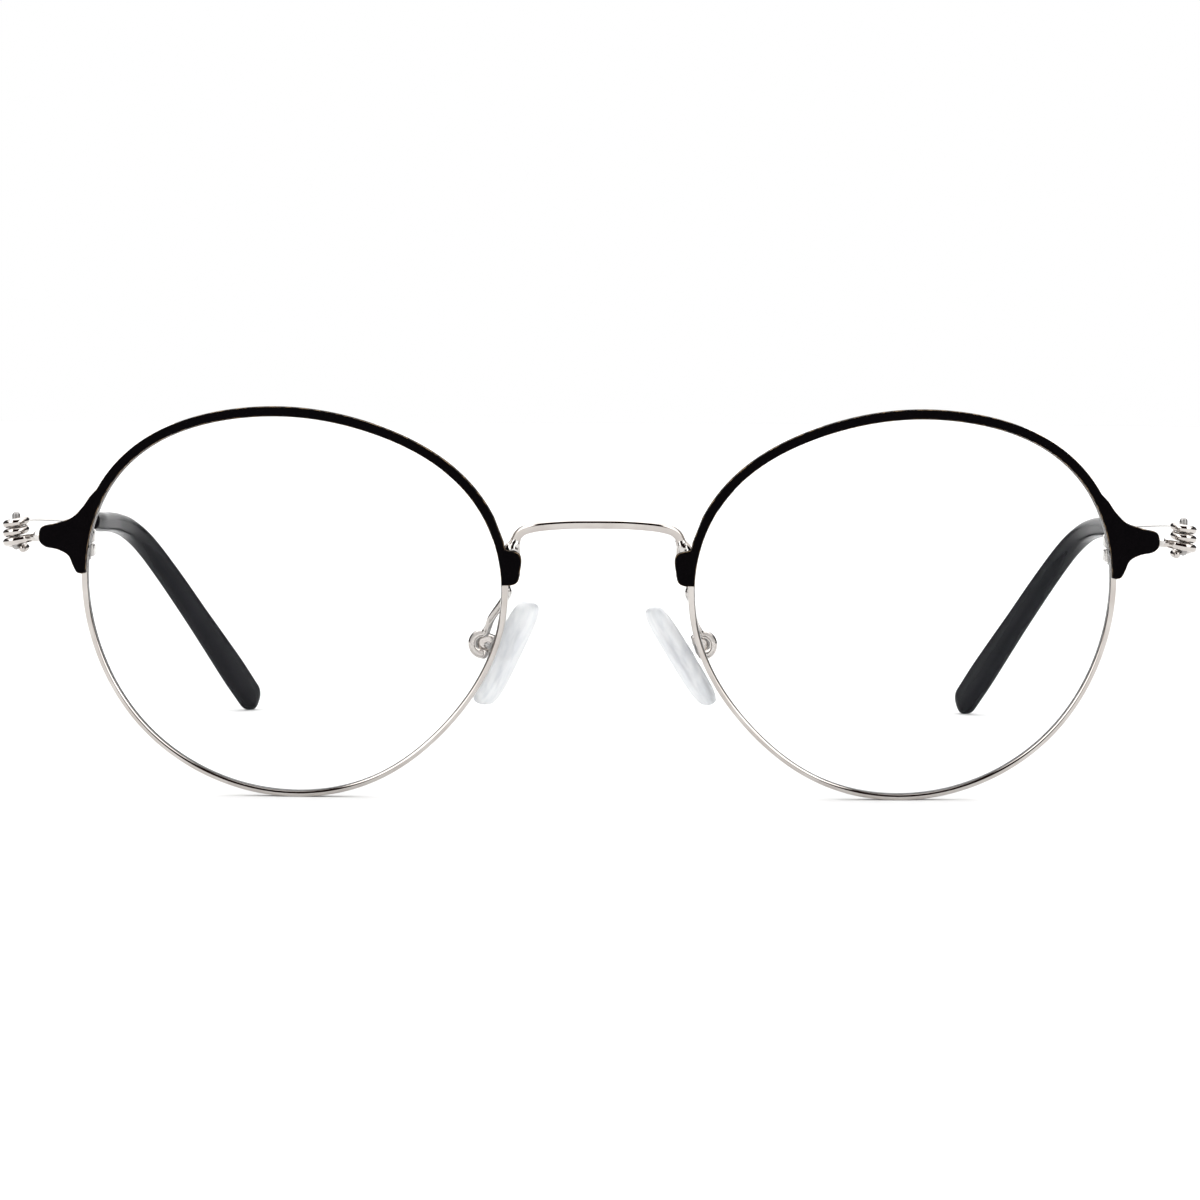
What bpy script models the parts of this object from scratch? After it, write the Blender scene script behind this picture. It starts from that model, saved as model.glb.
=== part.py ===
"""Round wire eyeglasses, open, standing on the bottoms of both rims and the ends of both temple tips.

Frame: +X to the wearer's left, the front faces -Y, +Z up. z = 0 is the surface the glasses stand on,
and the origin is the middle of the base of the whole object's box.
Every dimension below is in millimetres, and MM turns it into Blender's metres.
Each side is built by the same functions with side = +1 (wearer's left) or -1 (wearer's right).
"""

import math

import bmesh
import bpy
import numpy as np
from mathutils import Euler, Matrix, Vector

MM = 0.001
WIRE_SIDES = 16
DOME_ANGLES = (30.0, 60.0, 82.0)
OBJECT_NAME = "round_wire_eyeglasses"
SIDES = {"left": 1, "right": -1}

# How the front stands: the bridge point, the lean of its top, and the sweep of each half.
FRONT_Y = -61.86
FRONT_LEAN = math.radians(4.0)
FRONT_SWEEP = math.radians(3.0)

# Eye shape: distance from the lens centre to the inner edge of the rim, one value every 20 degrees,
# starting towards the nose and turning up and over to the temple.
LENS_CENTRE_X = 35.2
LENS_CENTRE_Z = 22.75
EYE_RADII = (
    24.0, 24.33, 23.49, 22.12, 21.6, 22.12, 23.62, 25.18, 25.2,
    24.25, 23.43, 22.9, 22.43, 22.17, 22.14, 22.13, 22.24, 23.06,
)

# Rim wire: a strip with a V groove on its inner side that holds the lens.
RIM_THICKNESS = 0.68
RIM_DEPTH = 1.9
RIM_FRONT_Y = 0.72
RIM_MID_Y = RIM_FRONT_Y + RIM_DEPTH / 2
GROOVE_DEPTH = 0.3
GROOVE_HALF_WIDTH = 0.42
RIM_SPLIT_ANGLE = 165.0
RIM_SPLIT_HALF_GAP = 0.18
RIM_STEPS = 78

# Demo lens: a meniscus of even thickness with a bevelled edge.
LENS_RISE = 2.03
LENS_THICKNESS = 1.5
LENS_EDGE_GAP = 0.06
LENS_BEVEL_HEIGHT = 0.3
LENS_BEVEL_HALF_WIDTH = 0.36
LENS_STEPS = 56
LENS_RINGS = (0.4, 0.76)

# Brow plate: a flat plate on the front of the rim, with a block at the nose and a lug at the temple.
PLATE_THICKNESS = 0.7
PLATE_INSET = 0.05
PLATE_WIDTH = 1.12
PLATE_ARC = (24.0, 150.0)
PLATE_ENDS = (5.6, 171.9)
# Outlines from the lens centre, as (distance outwards, height).
LUG_OUTLINE = (
    (24.95, 3.36), (25.5, 3.52), (25.95, 4.3), (26.5, 5.5), (27.7, 6.17), (29.2, 6.52),
    (29.82, 7.1), (29.9, 7.9), (29.6, 8.78), (27.9, 9.25), (26.0, 9.95), (24.7, 11.2), (23.85, 12.4),
)
BLOCK_OUTLINE = (
    (24.35, 7.45), (24.6, 6.6), (25.6, 6.33), (26.2, 6.0), (26.4, 5.3),
    (26.25, 4.0), (25.95, 2.75), (25.3, 2.4), (24.7, 2.38),
)

# Bridge wire: the half from the foot behind the nose block to the middle of the arch.
BRIDGE_RADIUS = 0.6
BRIDGE_ROUTE = (
    (9.55, 1.36, 26.3), (9.55, 1.36, 28.4), (9.55, 1.32, 29.75), (9.35, 1.25, 30.72), (8.65, 1.12, 31.42),
    (7.5, 0.98, 31.8), (6.0, 0.85, 32.04), (3.0, 0.68, 32.27), (0.0, 0.62, 32.32),
)

# Rim lock: two blocks on the back of the split rim, closed by a screw.
LOCK_X = 60.15
LOCK_Y = 3.52
LOCK_SPLIT_Z = 29.42
LOCK_SIZE = (2.3, 1.72, 1.5)
LOCK_SPLIT_GAP = 0.12
LOCK_SCREW_RADIUS = 0.42
LOCK_HEAD_RADIUS = 0.7
LOCK_BORE_GAP = 0.06
LOCK_BEVEL = 0.15
LOCK_SCREW_CHAMFER = 0.1
LOCK_HEAD_GAP = 0.05
LOCK_HEAD_HEIGHT = 0.4
LOCK_HEAD_RIM = 0.28
LOCK_HEAD_TOP_RADIUS = 0.5
LOCK_SLOT = (2.0, 0.22, 0.5)
CUTTER_REACH = 6.0

# Coil hinge. The endpiece wire makes the lowest turn and the temple wire the two above it.
HINGE_X = 68.5
HINGE_Y = 6.1
WIRE_RADIUS = 0.5
COIL_RADIUS = 1.07
COIL_PITCH = 1.06
COIL_STEPS = 16
FIXED_TURN_FRONT_Z = 29.72
FIXED_TURN_START = -90.0
FIXED_TURN_END = 215.0
TEMPLE_TURN_FRONT_Z = FIXED_TURN_FRONT_Z + 2 * COIL_PITCH
TEMPLE_TURN_START = 180.0
TEMPLE_TURN_END = 800.0
PIN_RADIUS = 0.48
PIN_BOTTOM_Z = 28.62
PIN_TOP_Z = 33.1
# The root lies in the front's frame. The lead is (outwards, back, height) from the hinge axis.
ENDPIECE_ROOT = ((61.9, 1.25, 30.45), (63.9, 1.25, 30.45))
ENDPIECE_LEAD = ((-3.0, -2.88, 30.25), (-1.45, -1.12, 30.0), (-0.6, -1.07, 29.84))

# Temple: the wire's route after the coil, from the front plane back, and the acetate tip on it.
TEMPLE_X = HINGE_X - COIL_RADIUS
TEMPLE_ROUTE = (
    (TEMPLE_X, HINGE_Y + 1.2, 32.25), (TEMPLE_X, HINGE_Y + 4.0, 32.2), (TEMPLE_X, 45.0, 30.75),
    (67.3, 68.0, 29.7), (66.8, 80.0, 29.1), (66.0, 88.0, 27.95), (64.6, 94.0, 25.7),
    (62.3, 100.6, 21.3), (58.6, 109.8, 13.8), (53.02, 123.66, 2.232),
)
CORE_END_SPACE = 16.0
BORE_END_SPACE = 1.2
BORE_ENTRY = 1.5
TIP_START_Y = 62.0
TIP_STEPS = 22
TIP_SIDES = 12
TIP_WIDTHS = ((0.0, 1.9), (0.06, 2.5), (0.5, 2.7), (0.85, 2.8), (1.0, 2.7))
TIP_HEIGHTS = ((0.0, 2.0), (0.06, 2.6), (0.35, 2.7), (0.5, 2.95), (0.72, 3.4), (0.92, 4.4), (1.0, 4.2))
TIP_END_ANGLES = (20.0, 40.0, 58.0, 74.0)
TIP_END_LENGTH = 2.5
TIP_SQUARENESS = 2.8
TIP_BORE_GAP = 0.1

# Nose pad assembly. Each pad rocks on a screw that runs front to back through its box.
# The two arms are bent by hand, so the pivots, tilts and splays of the two sides differ a little.
PAD_PIVOT_X = {"left": 12.1, "right": 13.4}
PAD_PIVOT_Y = 7.9
PAD_PIVOT_Z = 17.3
PAD_REST_TILT = {"left": math.radians(31.5), "right": math.radians(25.5)}
PAD_SPLAY = {"left": math.radians(14.0), "right": math.radians(19.0)}
PAD_OFFSET = 2.45
PAD_SIZE = (2.1, 7.0, 13.4)
PAD_FULLNESS = 0.75
PAD_END_FULLNESS = 0.5
PAD_DROP = 0.1
BOX_TILT = math.radians(19.0)
BOX_SIZE = (2.05, 2.0, 2.4)
BOX_SHIFT = 0.475
BOX_BEVEL = 0.2
BOX_SLOT_WIDTH = 0.86
BOX_SLOT_SHIFT = -0.3
PAD_SCREW_RADIUS = 0.3
PAD_SCREW_HEAD_RADIUS = 0.42
PAD_SCREW_GAP = 0.05
PAD_BORE_REACH = 3.0
STEM_SIZE = (2.2, 0.72, 1.2)
CORE_PLATE_SIZE = (0.5, 3.2, 7.6)
PAD_CORE_GAP = 0.05
CORE_SIDES = 20
PAD_ARM_RADIUS = 0.56
# The arm's root lies in the front's frame, and its hook is measured from the pad's pivot.
PAD_ARM_ROOT = ((10.75, 3.23, 24.4), (10.95, 3.23, 23.5))
PAD_ARM_HOOK = (
    (-0.7, -3.4, 3.5), (-0.2, -2.3, 2.3), (0.25, -1.68, 1.55), (1.0, -1.62, 1.34), (1.48, -1.62, 0.88),
    (1.64, -1.62, 0.25), (1.48, -1.62, -0.38), (1.02, -1.62, -0.82), (0.45, -1.62, -0.98),
)

# Colour, metallic and roughness of each material.
MATERIALS = {
    "polished_silver": ((0.84, 0.83, 0.81), 1.0, 0.12),
    "black_paint": ((0.012, 0.010, 0.011), 0.0, 0.5),
    "black_acetate": ((0.008, 0.008, 0.010), 0.0, 0.12),
    "clear_lens": ((0.96, 0.98, 0.98), 0.0, 0.03),
    "clear_silicone": ((0.90, 0.92, 0.93), 0.0, 0.35),
    "pad_core_plastic": ((0.86, 0.88, 0.90), 0.0, 0.25),
    "screw_steel": ((0.72, 0.71, 0.69), 1.0, 0.25),
}


# ---------------------------------------------------------------- scene and object helpers


def clear_scene():
    for obj in list(bpy.data.objects):
        bpy.data.objects.remove(obj, do_unlink=True)


def new_collection(name):
    collection = bpy.data.collections.new(name)
    bpy.context.scene.collection.children.link(collection)
    return collection


def get_material(name):
    material = bpy.data.materials.get(name)
    if material is None:
        colour, metallic, roughness = MATERIALS[name]
        material = bpy.data.materials.new(name)
        material.use_nodes = True
        shader = material.node_tree.nodes["Principled BSDF"]
        shader.inputs["Base Color"].default_value = (*colour, 1.0)
        shader.inputs["Metallic"].default_value = metallic
        shader.inputs["Roughness"].default_value = roughness
    return material


def add_object(name, data, material=None, parent=None, collection=None):
    obj = bpy.data.objects.new(name, data)
    (collection or PARTS).objects.link(obj)
    if material is not None:
        obj.data.materials.append(get_material(material))
    obj.parent = parent
    return obj


def add_empty(name, location, rotation=(0.0, 0.0, 0.0), parent=None):
    empty = add_object(name, None, parent=parent)
    empty.location = Vector(location) * MM
    empty.rotation_euler = Euler(rotation)
    empty.empty_display_size = 0.005
    return empty


def make_guide(obj):
    obj.hide_render = True
    obj.display_type = "WIRE"
    return obj


def mesh_from_bmesh(name, bm):
    bmesh.ops.recalc_face_normals(bm, faces=bm.faces)
    mesh = bpy.data.meshes.new(name)
    bm.to_mesh(mesh)
    bm.free()
    return mesh


def shade_round(mesh, angle_deg=40.0):
    mesh.shade_smooth()
    mesh.set_sharp_from_angle(angle=math.radians(angle_deg))


def curve_to_mesh(curve_obj):
    """Replace a curve object by a welded mesh object of the same name, place and parent."""
    bpy.context.view_layer.update()
    evaluated = curve_obj.evaluated_get(bpy.context.evaluated_depsgraph_get())
    mesh = bpy.data.meshes.new_from_object(evaluated)
    bm = bmesh.new()
    bm.from_mesh(mesh)
    bmesh.ops.remove_doubles(bm, verts=bm.verts, dist=1e-7)
    bm.to_mesh(mesh)
    bm.free()
    name = curve_obj.name
    parent = curve_obj.parent
    place = curve_obj.matrix_world.copy()
    collection = curve_obj.users_collection[0]
    bpy.data.objects.remove(curve_obj, do_unlink=True)
    obj = bpy.data.objects.new(name, mesh)
    collection.objects.link(obj)
    obj.parent = parent
    obj.matrix_world = place
    return obj


def cut(obj, cutter):
    """Subtract the cutter from the object with an exact Boolean."""
    modifier = obj.modifiers.new("cut_" + cutter.name, "BOOLEAN")
    modifier.operation = "DIFFERENCE"
    modifier.solver = "EXACT"
    modifier.object = cutter


# ---------------------------------------------------------------- shape helpers


def smooth_route(points, per_span):
    """Points along a smooth curve through the given points (Catmull-Rom, spaced by chord length)."""
    pts = [Vector(p) for p in points]
    first = pts[0] * 2 - pts[1]
    last = pts[-1] * 2 - pts[-2]
    pts = [first] + pts + [last]
    out = []
    for i in range(1, len(pts) - 2):
        p0, p1, p2, p3 = pts[i - 1 : i + 3]
        d1 = (p1 - p0).length ** 0.5
        d2 = (p2 - p1).length ** 0.5
        d3 = (p3 - p2).length ** 0.5
        m1 = (p1 - p0) / d1 - (p2 - p0) / (d1 + d2) + (p2 - p1) / d2
        m2 = (p2 - p1) / d2 - (p3 - p1) / (d2 + d3) + (p3 - p2) / d3
        for k in range(per_span):
            t = k / per_span
            out.append(
                p1 * (2 * t**3 - 3 * t**2 + 1)
                + m1 * d2 * (t**3 - 2 * t**2 + t)
                + p2 * (3 * t**2 - 2 * t**3)
                + m2 * d2 * (t**3 - t**2)
            )
    out.append(pts[-2])
    return out


def dome(tip, direction, radius):
    """Points past a wire's end that round it off, with the share of the radius at each."""
    return [
        (tip + direction * radius * math.sin(math.radians(a)), math.cos(math.radians(a)))
        for a in DOME_ANGLES
    ]


def wire(name, points, radius, material, parent=None, round_start=False, round_end=False, collection=None):
    """A round wire along a list of points, as a curve with a bevel depth and filled caps."""
    pts = [Vector(p) for p in points]
    stations = [(p, 1.0) for p in pts]
    if round_start:
        start = dome(pts[0], (pts[0] - pts[1]).normalized(), radius)
        stations = start[::-1] + stations
    if round_end:
        stations += dome(pts[-1], (pts[-1] - pts[-2]).normalized(), radius)
    curve = bpy.data.curves.new(name, "CURVE")
    curve.dimensions = "3D"
    curve.bevel_depth = radius * MM
    curve.bevel_resolution = 2
    curve.use_fill_caps = True
    spline = curve.splines.new("POLY")
    spline.points.add(len(stations) - 1)
    for point, (place, share) in zip(spline.points, stations):
        point.co = (*(place * MM), 1.0)
        point.radius = share
    spline.use_smooth = True
    return add_object(name, curve, material, parent, collection)


def flat_outline(name, outline, thickness, material, parent):
    """A flat plate from an outline in the XZ plane; its front face lies at the object's y = 0."""
    curve = bpy.data.curves.new(name, "CURVE")
    curve.dimensions = "2D"
    curve.fill_mode = "BOTH"
    curve.extrude = thickness / 2 * MM
    spline = curve.splines.new("POLY")
    spline.points.add(len(outline) - 1)
    for point, (x, z) in zip(spline.points, outline):
        point.co = (x * MM, z * MM, 0.0, 1.0)
    spline.use_cyclic_u = True
    obj = add_object(name, curve, material, parent)
    obj.rotation_euler = (math.pi / 2, 0.0, 0.0)
    obj.location = (0.0, thickness / 2 * MM, 0.0)
    return curve_to_mesh(obj)


def turned(name, profile, material, parent, steps=20, collection=None):
    """A turned solid about Z from a profile of (radius, height), listed from top to bottom."""
    mesh = bpy.data.meshes.new(name)
    verts = [(r * MM, 0.0, z * MM) for r, z in profile]
    mesh.from_pydata(verts, [(i, i + 1) for i in range(len(verts) - 1)], [])
    obj = add_object(name, mesh, material, parent, collection)
    screw = obj.modifiers.new("turn", "SCREW")
    screw.steps = steps
    screw.render_steps = steps
    screw.use_merge_vertices = True
    screw.merge_threshold = 1e-6
    screw.use_smooth_shade = True
    return obj


def bore_profile(radius, reach):
    """The turned profile of a plain cylinder that reaches the same distance up and down."""
    return [(0.0, reach), (radius, reach), (radius, -reach), (0.0, -reach)]


def box(name, size, centre, material=None, parent=None, bevel=0.0, collection=None):
    """A rectangular block with rounded edges."""
    bm = bmesh.new()
    bmesh.ops.create_cube(bm, size=1.0)
    bmesh.ops.scale(bm, vec=Vector(size) * MM, verts=bm.verts)
    bmesh.ops.translate(bm, vec=Vector(centre) * MM, verts=bm.verts)
    obj = add_object(name, mesh_from_bmesh(name, bm), material, parent, collection)
    if bevel > 0.0:
        modifier = obj.modifiers.new("edges", "BEVEL")
        modifier.width = bevel * MM
        modifier.segments = 2
    return obj


def loft(name, rings, material, parent, collection=None):
    """A closed skin over rings of equal vertex count, with a face on each end ring."""
    bm = bmesh.new()
    loops = [[bm.verts.new(Vector(p) * MM) for p in ring] for ring in rings]
    count = len(loops[0])
    for low, high in zip(loops, loops[1:]):
        for i in range(count):
            j = (i + 1) % count
            bm.faces.new((low[i], low[j], high[j], high[i]))
    bm.faces.new(loops[0][::-1])
    bm.faces.new(loops[-1])
    return add_object(name, mesh_from_bmesh(name, bm), material, parent, collection)


def taper(table, t):
    """A size at the share t of a length, read between the (share, size) pairs of a table."""
    shares = [row[0] for row in table]
    sizes = [row[1] for row in table]
    return float(np.interp(t, shares, sizes))


def eye_radius(angle_deg):
    """Distance from the lens centre to the rim's inner edge, smooth and periodic through EYE_RADII."""
    count = len(EYE_RADII)
    terms = np.fft.rfft(EYE_RADII) / count
    angle = math.radians(angle_deg)
    total = terms[0].real
    for k in range(1, len(terms)):
        weight = 1.0 if k == count / 2 else 2.0
        total += weight * (terms[k] * complex(math.cos(k * angle), math.sin(k * angle))).real
    return total


def eye_point(side, angle_deg, outwards=0.0, share=1.0):
    """A point (x, z) of the eye shape, or a share of the way to it from the lens centre."""
    angle = math.radians(angle_deg)
    r = eye_radius(angle_deg) * share + outwards
    x = LENS_CENTRE_X - r * math.cos(angle)
    z = LENS_CENTRE_Z + r * math.sin(angle)
    return side * x, z


# ---------------------------------------------------------------- the front: rims, lenses, plates


def rim_profile():
    """The rim wire's section: its inner side, at local x = 0, carries the V groove."""
    curve = bpy.data.curves.new("rim_section", "CURVE")
    curve.dimensions = "2D"
    half = RIM_DEPTH / 2
    outline = (
        (0.0, -half), (0.0, -GROOVE_HALF_WIDTH), (GROOVE_DEPTH, 0.0), (0.0, GROOVE_HALF_WIDTH), (0.0, half),
        (RIM_THICKNESS, half), (RIM_THICKNESS, -half),
    )
    spline = curve.splines.new("POLY")
    spline.points.add(len(outline) - 1)
    for point, (x, y) in zip(spline.points, outline):
        point.co = (x * MM, y * MM, 0.0, 1.0)
    spline.use_cyclic_u = True
    return make_guide(add_object("rim_section", curve, collection=GUIDES))


def build_rim(label, side, front, section):
    """The rim wire as one open loop, split at the temple for the lock."""
    split = math.degrees(RIM_SPLIT_HALF_GAP / eye_radius(RIM_SPLIT_ANGLE))
    start = RIM_SPLIT_ANGLE + split
    end = RIM_SPLIT_ANGLE - split + 360.0
    angles = [start + (end - start) * i / RIM_STEPS for i in range(RIM_STEPS + 1)]
    if side > 0:
        angles.reverse()
    curve = bpy.data.curves.new("rim_" + label, "CURVE")
    curve.dimensions = "3D"
    curve.twist_mode = "Z_UP"
    curve.bevel_mode = "OBJECT"
    curve.bevel_object = section
    curve.use_fill_caps = True
    spline = curve.splines.new("POLY")
    spline.points.add(len(angles) - 1)
    for point, angle in zip(spline.points, angles):
        x, z = eye_point(side, angle)
        point.co = (x * MM, z * MM, 0.0, 1.0)
    obj = add_object("rim_" + label, curve, "polished_silver", front)
    obj.rotation_euler = (math.pi / 2, 0.0, 0.0)
    obj.location = (0.0, RIM_MID_Y * MM, 0.0)
    return curve_to_mesh(obj)


def build_lens(label, side, front):
    """A meniscus lens whose bevelled edge sits in the rim's groove."""
    angles = [360.0 * i / LENS_STEPS for i in range(LENS_STEPS)]
    half = LENS_THICKNESS / 2

    def ring(share, outwards, depth_offset):
        points = []
        for angle in angles:
            x, z = eye_point(side, angle, outwards, share)
            points.append((x, RIM_MID_Y - LENS_RISE * (1 - share**2) + depth_offset, z))
        return points

    edge = -LENS_EDGE_GAP
    front_rings = [ring(share, 0.0, -half) for share in LENS_RINGS]
    back_rings = [ring(share, 0.0, half) for share in reversed(LENS_RINGS)]
    edge_rings = [
        ring(1.0, edge, -half),
        ring(1.0, edge, -LENS_BEVEL_HALF_WIDTH),
        ring(1.0, edge + LENS_BEVEL_HEIGHT, 0.0),
        ring(1.0, edge, LENS_BEVEL_HALF_WIDTH),
        ring(1.0, edge, half),
    ]
    obj = loft("lens_" + label, front_rings + edge_rings + back_rings, "clear_lens", front)
    shade_round(obj.data)
    return obj


def plate_outline(side):
    """The brow plate's outline: inner arc over the lens, temple lug, outer arc, nose block."""
    first, last = PLATE_ENDS
    inner_steps = 44
    outline = []
    for i in range(inner_steps + 1):
        angle = first + (last - first) * i / inner_steps
        outline.append(eye_point(side, angle, PLATE_INSET))
    lug = [(LENS_CENTRE_X + out, 0.0, LENS_CENTRE_Z + up) for out, up in LUG_OUTLINE]
    outline += [(side * p.x, p.z) for p in smooth_route(lug, 3)]
    start, end = PLATE_ARC
    outer_steps = 32
    for i in range(outer_steps + 1):
        angle = end + (start - end) * i / outer_steps
        outline.append(eye_point(side, angle, PLATE_INSET + PLATE_WIDTH))
    block = [(LENS_CENTRE_X - out, 0.0, LENS_CENTRE_Z + up) for out, up in BLOCK_OUTLINE]
    outline += [(side * p.x, p.z) for p in smooth_route(block, 3)]
    return outline


def build_brow_plate(label, side, front):
    return flat_outline("brow_plate_" + label, plate_outline(side), PLATE_THICKNESS, "black_paint", front)


def build_bridge(fronts):
    """One wire from the back of one nose block, up and over to the other."""
    half = smooth_route(BRIDGE_ROUTE, 2)
    route = []
    for point in half[:-1]:
        route.append(fronts["left"] @ (point * MM) / MM)
    middle = fronts["left"] @ (half[-1] * MM) / MM
    middle.x = 0.0
    route.append(middle)
    for point in reversed(half[:-1]):
        mirrored = Vector((-point.x, point.y, point.z))
        route.append(fronts["right"] @ (mirrored * MM) / MM)
    wire("bridge", route, BRIDGE_RADIUS, "polished_silver", round_start=True, round_end=True)


# ---------------------------------------------------------------- the rim lock


def build_lock(label, side, front):
    """Upper and lower lock blocks on the rim's back, and the screw that closes them from below."""
    height = LOCK_SIZE[2]
    bore = turned(
        "lock_bore_" + label,
        bore_profile(LOCK_SCREW_RADIUS + LOCK_BORE_GAP, CUTTER_REACH),
        None, front, WIRE_SIDES, GUIDES,
    )
    bore.location = Vector((side * LOCK_X, LOCK_Y, LOCK_SPLIT_Z)) * MM
    make_guide(bore)
    offset = LOCK_SPLIT_GAP / 2 + height / 2
    for level, sign in (("upper", 1), ("lower", -1)):
        centre = (side * LOCK_X, LOCK_Y, LOCK_SPLIT_Z + sign * offset)
        name = f"lock_block_{level}_{label}"
        block = box(name, LOCK_SIZE, centre, "polished_silver", front, LOCK_BEVEL)
        cut(block, bore)
    chamfer = LOCK_SCREW_CHAMFER
    top = LOCK_SPLIT_GAP / 2 + height - chamfer
    head = -(LOCK_SPLIT_GAP / 2 + height + LOCK_HEAD_GAP)
    low = head - LOCK_HEAD_HEIGHT
    radius = LOCK_SCREW_RADIUS
    screw = turned(
        "lock_screw_" + label,
        [
            (0.0, top), (radius - chamfer, top), (radius, top - chamfer), (radius, head),
            (LOCK_HEAD_RADIUS, head), (LOCK_HEAD_RADIUS, head - LOCK_HEAD_RIM),
            (LOCK_HEAD_TOP_RADIUS, low), (0.0, low),
        ],
        "screw_steel", front, WIRE_SIDES,
    )
    screw.location = Vector((side * LOCK_X, LOCK_Y, LOCK_SPLIT_Z)) * MM
    slot = box("lock_slot_" + label, LOCK_SLOT, (0.0, 0.0, low), None, front, 0.0, GUIDES)
    slot.location = screw.location
    cut(screw, make_guide(slot))


# ---------------------------------------------------------------- hinges and temples


def coil(side, start_deg, end_deg, front_deg, front_z):
    """Points of a descending helix, from start_deg to end_deg; at front_deg its height is front_z."""
    count = round(abs(end_deg - start_deg) * COIL_STEPS / 360.0)
    points = []
    for i in range(count + 1):
        degrees = start_deg + (end_deg - start_deg) * i / count
        angle = math.radians(degrees)
        height = front_z - COIL_PITCH * (degrees - front_deg) / 360.0
        out = side * COIL_RADIUS * math.cos(angle)
        points.append(Vector((out, COIL_RADIUS * math.sin(angle), height)))
    return points


def build_endpiece_wire(label, side, hinge, front_matrix):
    """From its solder joint behind the lug, out and back to the hinge, and once around the pin."""
    root = []
    for x, y, z in ENDPIECE_ROOT:
        world = front_matrix @ (Vector((side * x, y, z)) * MM) / MM
        root.append(world - hinge.location / MM)
    turn = coil(side, FIXED_TURN_START, FIXED_TURN_END, FIXED_TURN_START, FIXED_TURN_FRONT_Z)
    lead = [Vector((side * x, y, z)) for x, y, z in ENDPIECE_LEAD]
    route = smooth_route(root + lead + [turn[0]], 3)[:-1] + turn
    wire("endpiece_wire_" + label, route, WIRE_RADIUS, "polished_silver", hinge, round_end=True)


def build_hinge_pin(label, side, hinge):
    """A plain pin with a rounded top and bottom, held by the endpiece wire's turn."""
    r = PIN_RADIUS
    end = [(r * math.cos(a), r * math.sin(a)) for a in map(math.radians, (0.0, 30.0, 60.0))] + [(0.0, r)]
    top = [(x, PIN_TOP_Z - r + rise) for x, rise in reversed(end)]
    low = [(x, PIN_BOTTOM_Z + r - rise) for x, rise in end]
    turned("hinge_pin_" + label, top + low, "polished_silver", hinge, WIRE_SIDES)


def temple_route(side):
    """The smooth line of the temple behind the coil, relative to the hinge axis, heights from z = 0."""
    points = [Vector((side * (x - HINGE_X), y - HINGE_Y, z)) for x, y, z in TEMPLE_ROUTE]
    return smooth_route(points, 3)


def cut_short(points, space):
    """The same line without the last stretch of the given length."""
    left = space
    points = list(points)
    while (points[-1] - points[-2]).length < left:
        left -= (points[-1] - points[-2]).length
        points.pop()
    step = points[-1] - points[-2]
    points[-1] = points[-1] - step.normalized() * left
    return points


def build_temple_wire(label, side, hinge):
    """Two turns around the pin, then straight back, and on as the core of the tip."""
    turns = coil(side, TEMPLE_TURN_END, TEMPLE_TURN_START, 270.0, TEMPLE_TURN_FRONT_Z)
    route = turns + cut_short(temple_route(side), CORE_END_SPACE)
    wire(
        "temple_wire_" + label, route, WIRE_RADIUS, "polished_silver", hinge,
        round_start=True, round_end=True,
    )


def tip_line(side):
    """The part of the temple's line that the tip covers."""
    start = TIP_START_Y - HINGE_Y
    line = temple_route(side)
    inside = [p for p in line if p.y > start]
    before = [p for p in line if p.y <= start][-1]
    share = (start - before.y) / (inside[0].y - before.y)
    return [before.lerp(inside[0], share)] + inside


def resample(points, steps):
    """Evenly spaced points along a line."""
    lengths = np.cumsum([0.0] + [(b - a).length for a, b in zip(points, points[1:])])
    out = []
    for distance in np.linspace(0.0, lengths[-1], steps + 1):
        i = min(int(np.searchsorted(lengths, distance, side="right")) - 1, len(points) - 2)
        share = (distance - lengths[i]) / (lengths[i + 1] - lengths[i])
        out.append(points[i].lerp(points[i + 1], share))
    return out


def tip_ring(centre, along, width, height):
    """A rounded-rectangle section across the tip's line, its long way up."""
    across = along.cross(Vector((0.0, 0.0, 1.0))).normalized()
    up = across.cross(along).normalized()
    ring = []
    for k in range(TIP_SIDES):
        a = 2 * math.pi * (k + 0.5) / TIP_SIDES
        c, s = math.cos(a), math.sin(a)
        u = math.copysign(abs(c) ** (2 / TIP_SQUARENESS), c) * width / 2
        v = math.copysign(abs(s) ** (2 / TIP_SQUARENESS), s) * height / 2
        ring.append(centre + across * u + up * v)
    return ring


def build_temple_tip(label, side, hinge):
    """The acetate tip, with a bore for the wire that is open at its front end."""
    line = resample(tip_line(side), TIP_STEPS)
    directions = [(b - a).normalized() for a, b in zip(line, line[1:])]
    directions.append(directions[-1])
    rings = []
    for i, (centre, along) in enumerate(zip(line, directions)):
        t = i / TIP_STEPS
        rings.append(tip_ring(centre, along, taper(TIP_WIDTHS, t), taper(TIP_HEIGHTS, t)))
    end_width = TIP_WIDTHS[-1][1]
    end_height = TIP_HEIGHTS[-1][1]
    for a in TIP_END_ANGLES:
        share = math.cos(math.radians(a))
        out = math.sin(math.radians(a)) * TIP_END_LENGTH
        centre = line[-1] + directions[-1] * out
        rings.append(tip_ring(centre, directions[-1], end_width * share, end_height * share))
    obj = loft("temple_tip_" + label, rings, "black_acetate", hinge)
    shade_round(obj.data, 60.0)

    bore_line = cut_short(tip_line(side), CORE_END_SPACE - BORE_END_SPACE)
    entry = bore_line[0] + (bore_line[0] - bore_line[1]).normalized() * BORE_ENTRY
    bore = wire(
        "tip_bore_" + label, [entry] + bore_line, WIRE_RADIUS + TIP_BORE_GAP, None, hinge,
        collection=GUIDES,
    )
    bore = make_guide(curve_to_mesh(bore))
    cut(obj, bore)


# ---------------------------------------------------------------- nose pads


def pad_pivot(label, side):
    return Vector((side * PAD_PIVOT_X[label], PAD_PIVOT_Y, PAD_PIVOT_Z))


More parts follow.
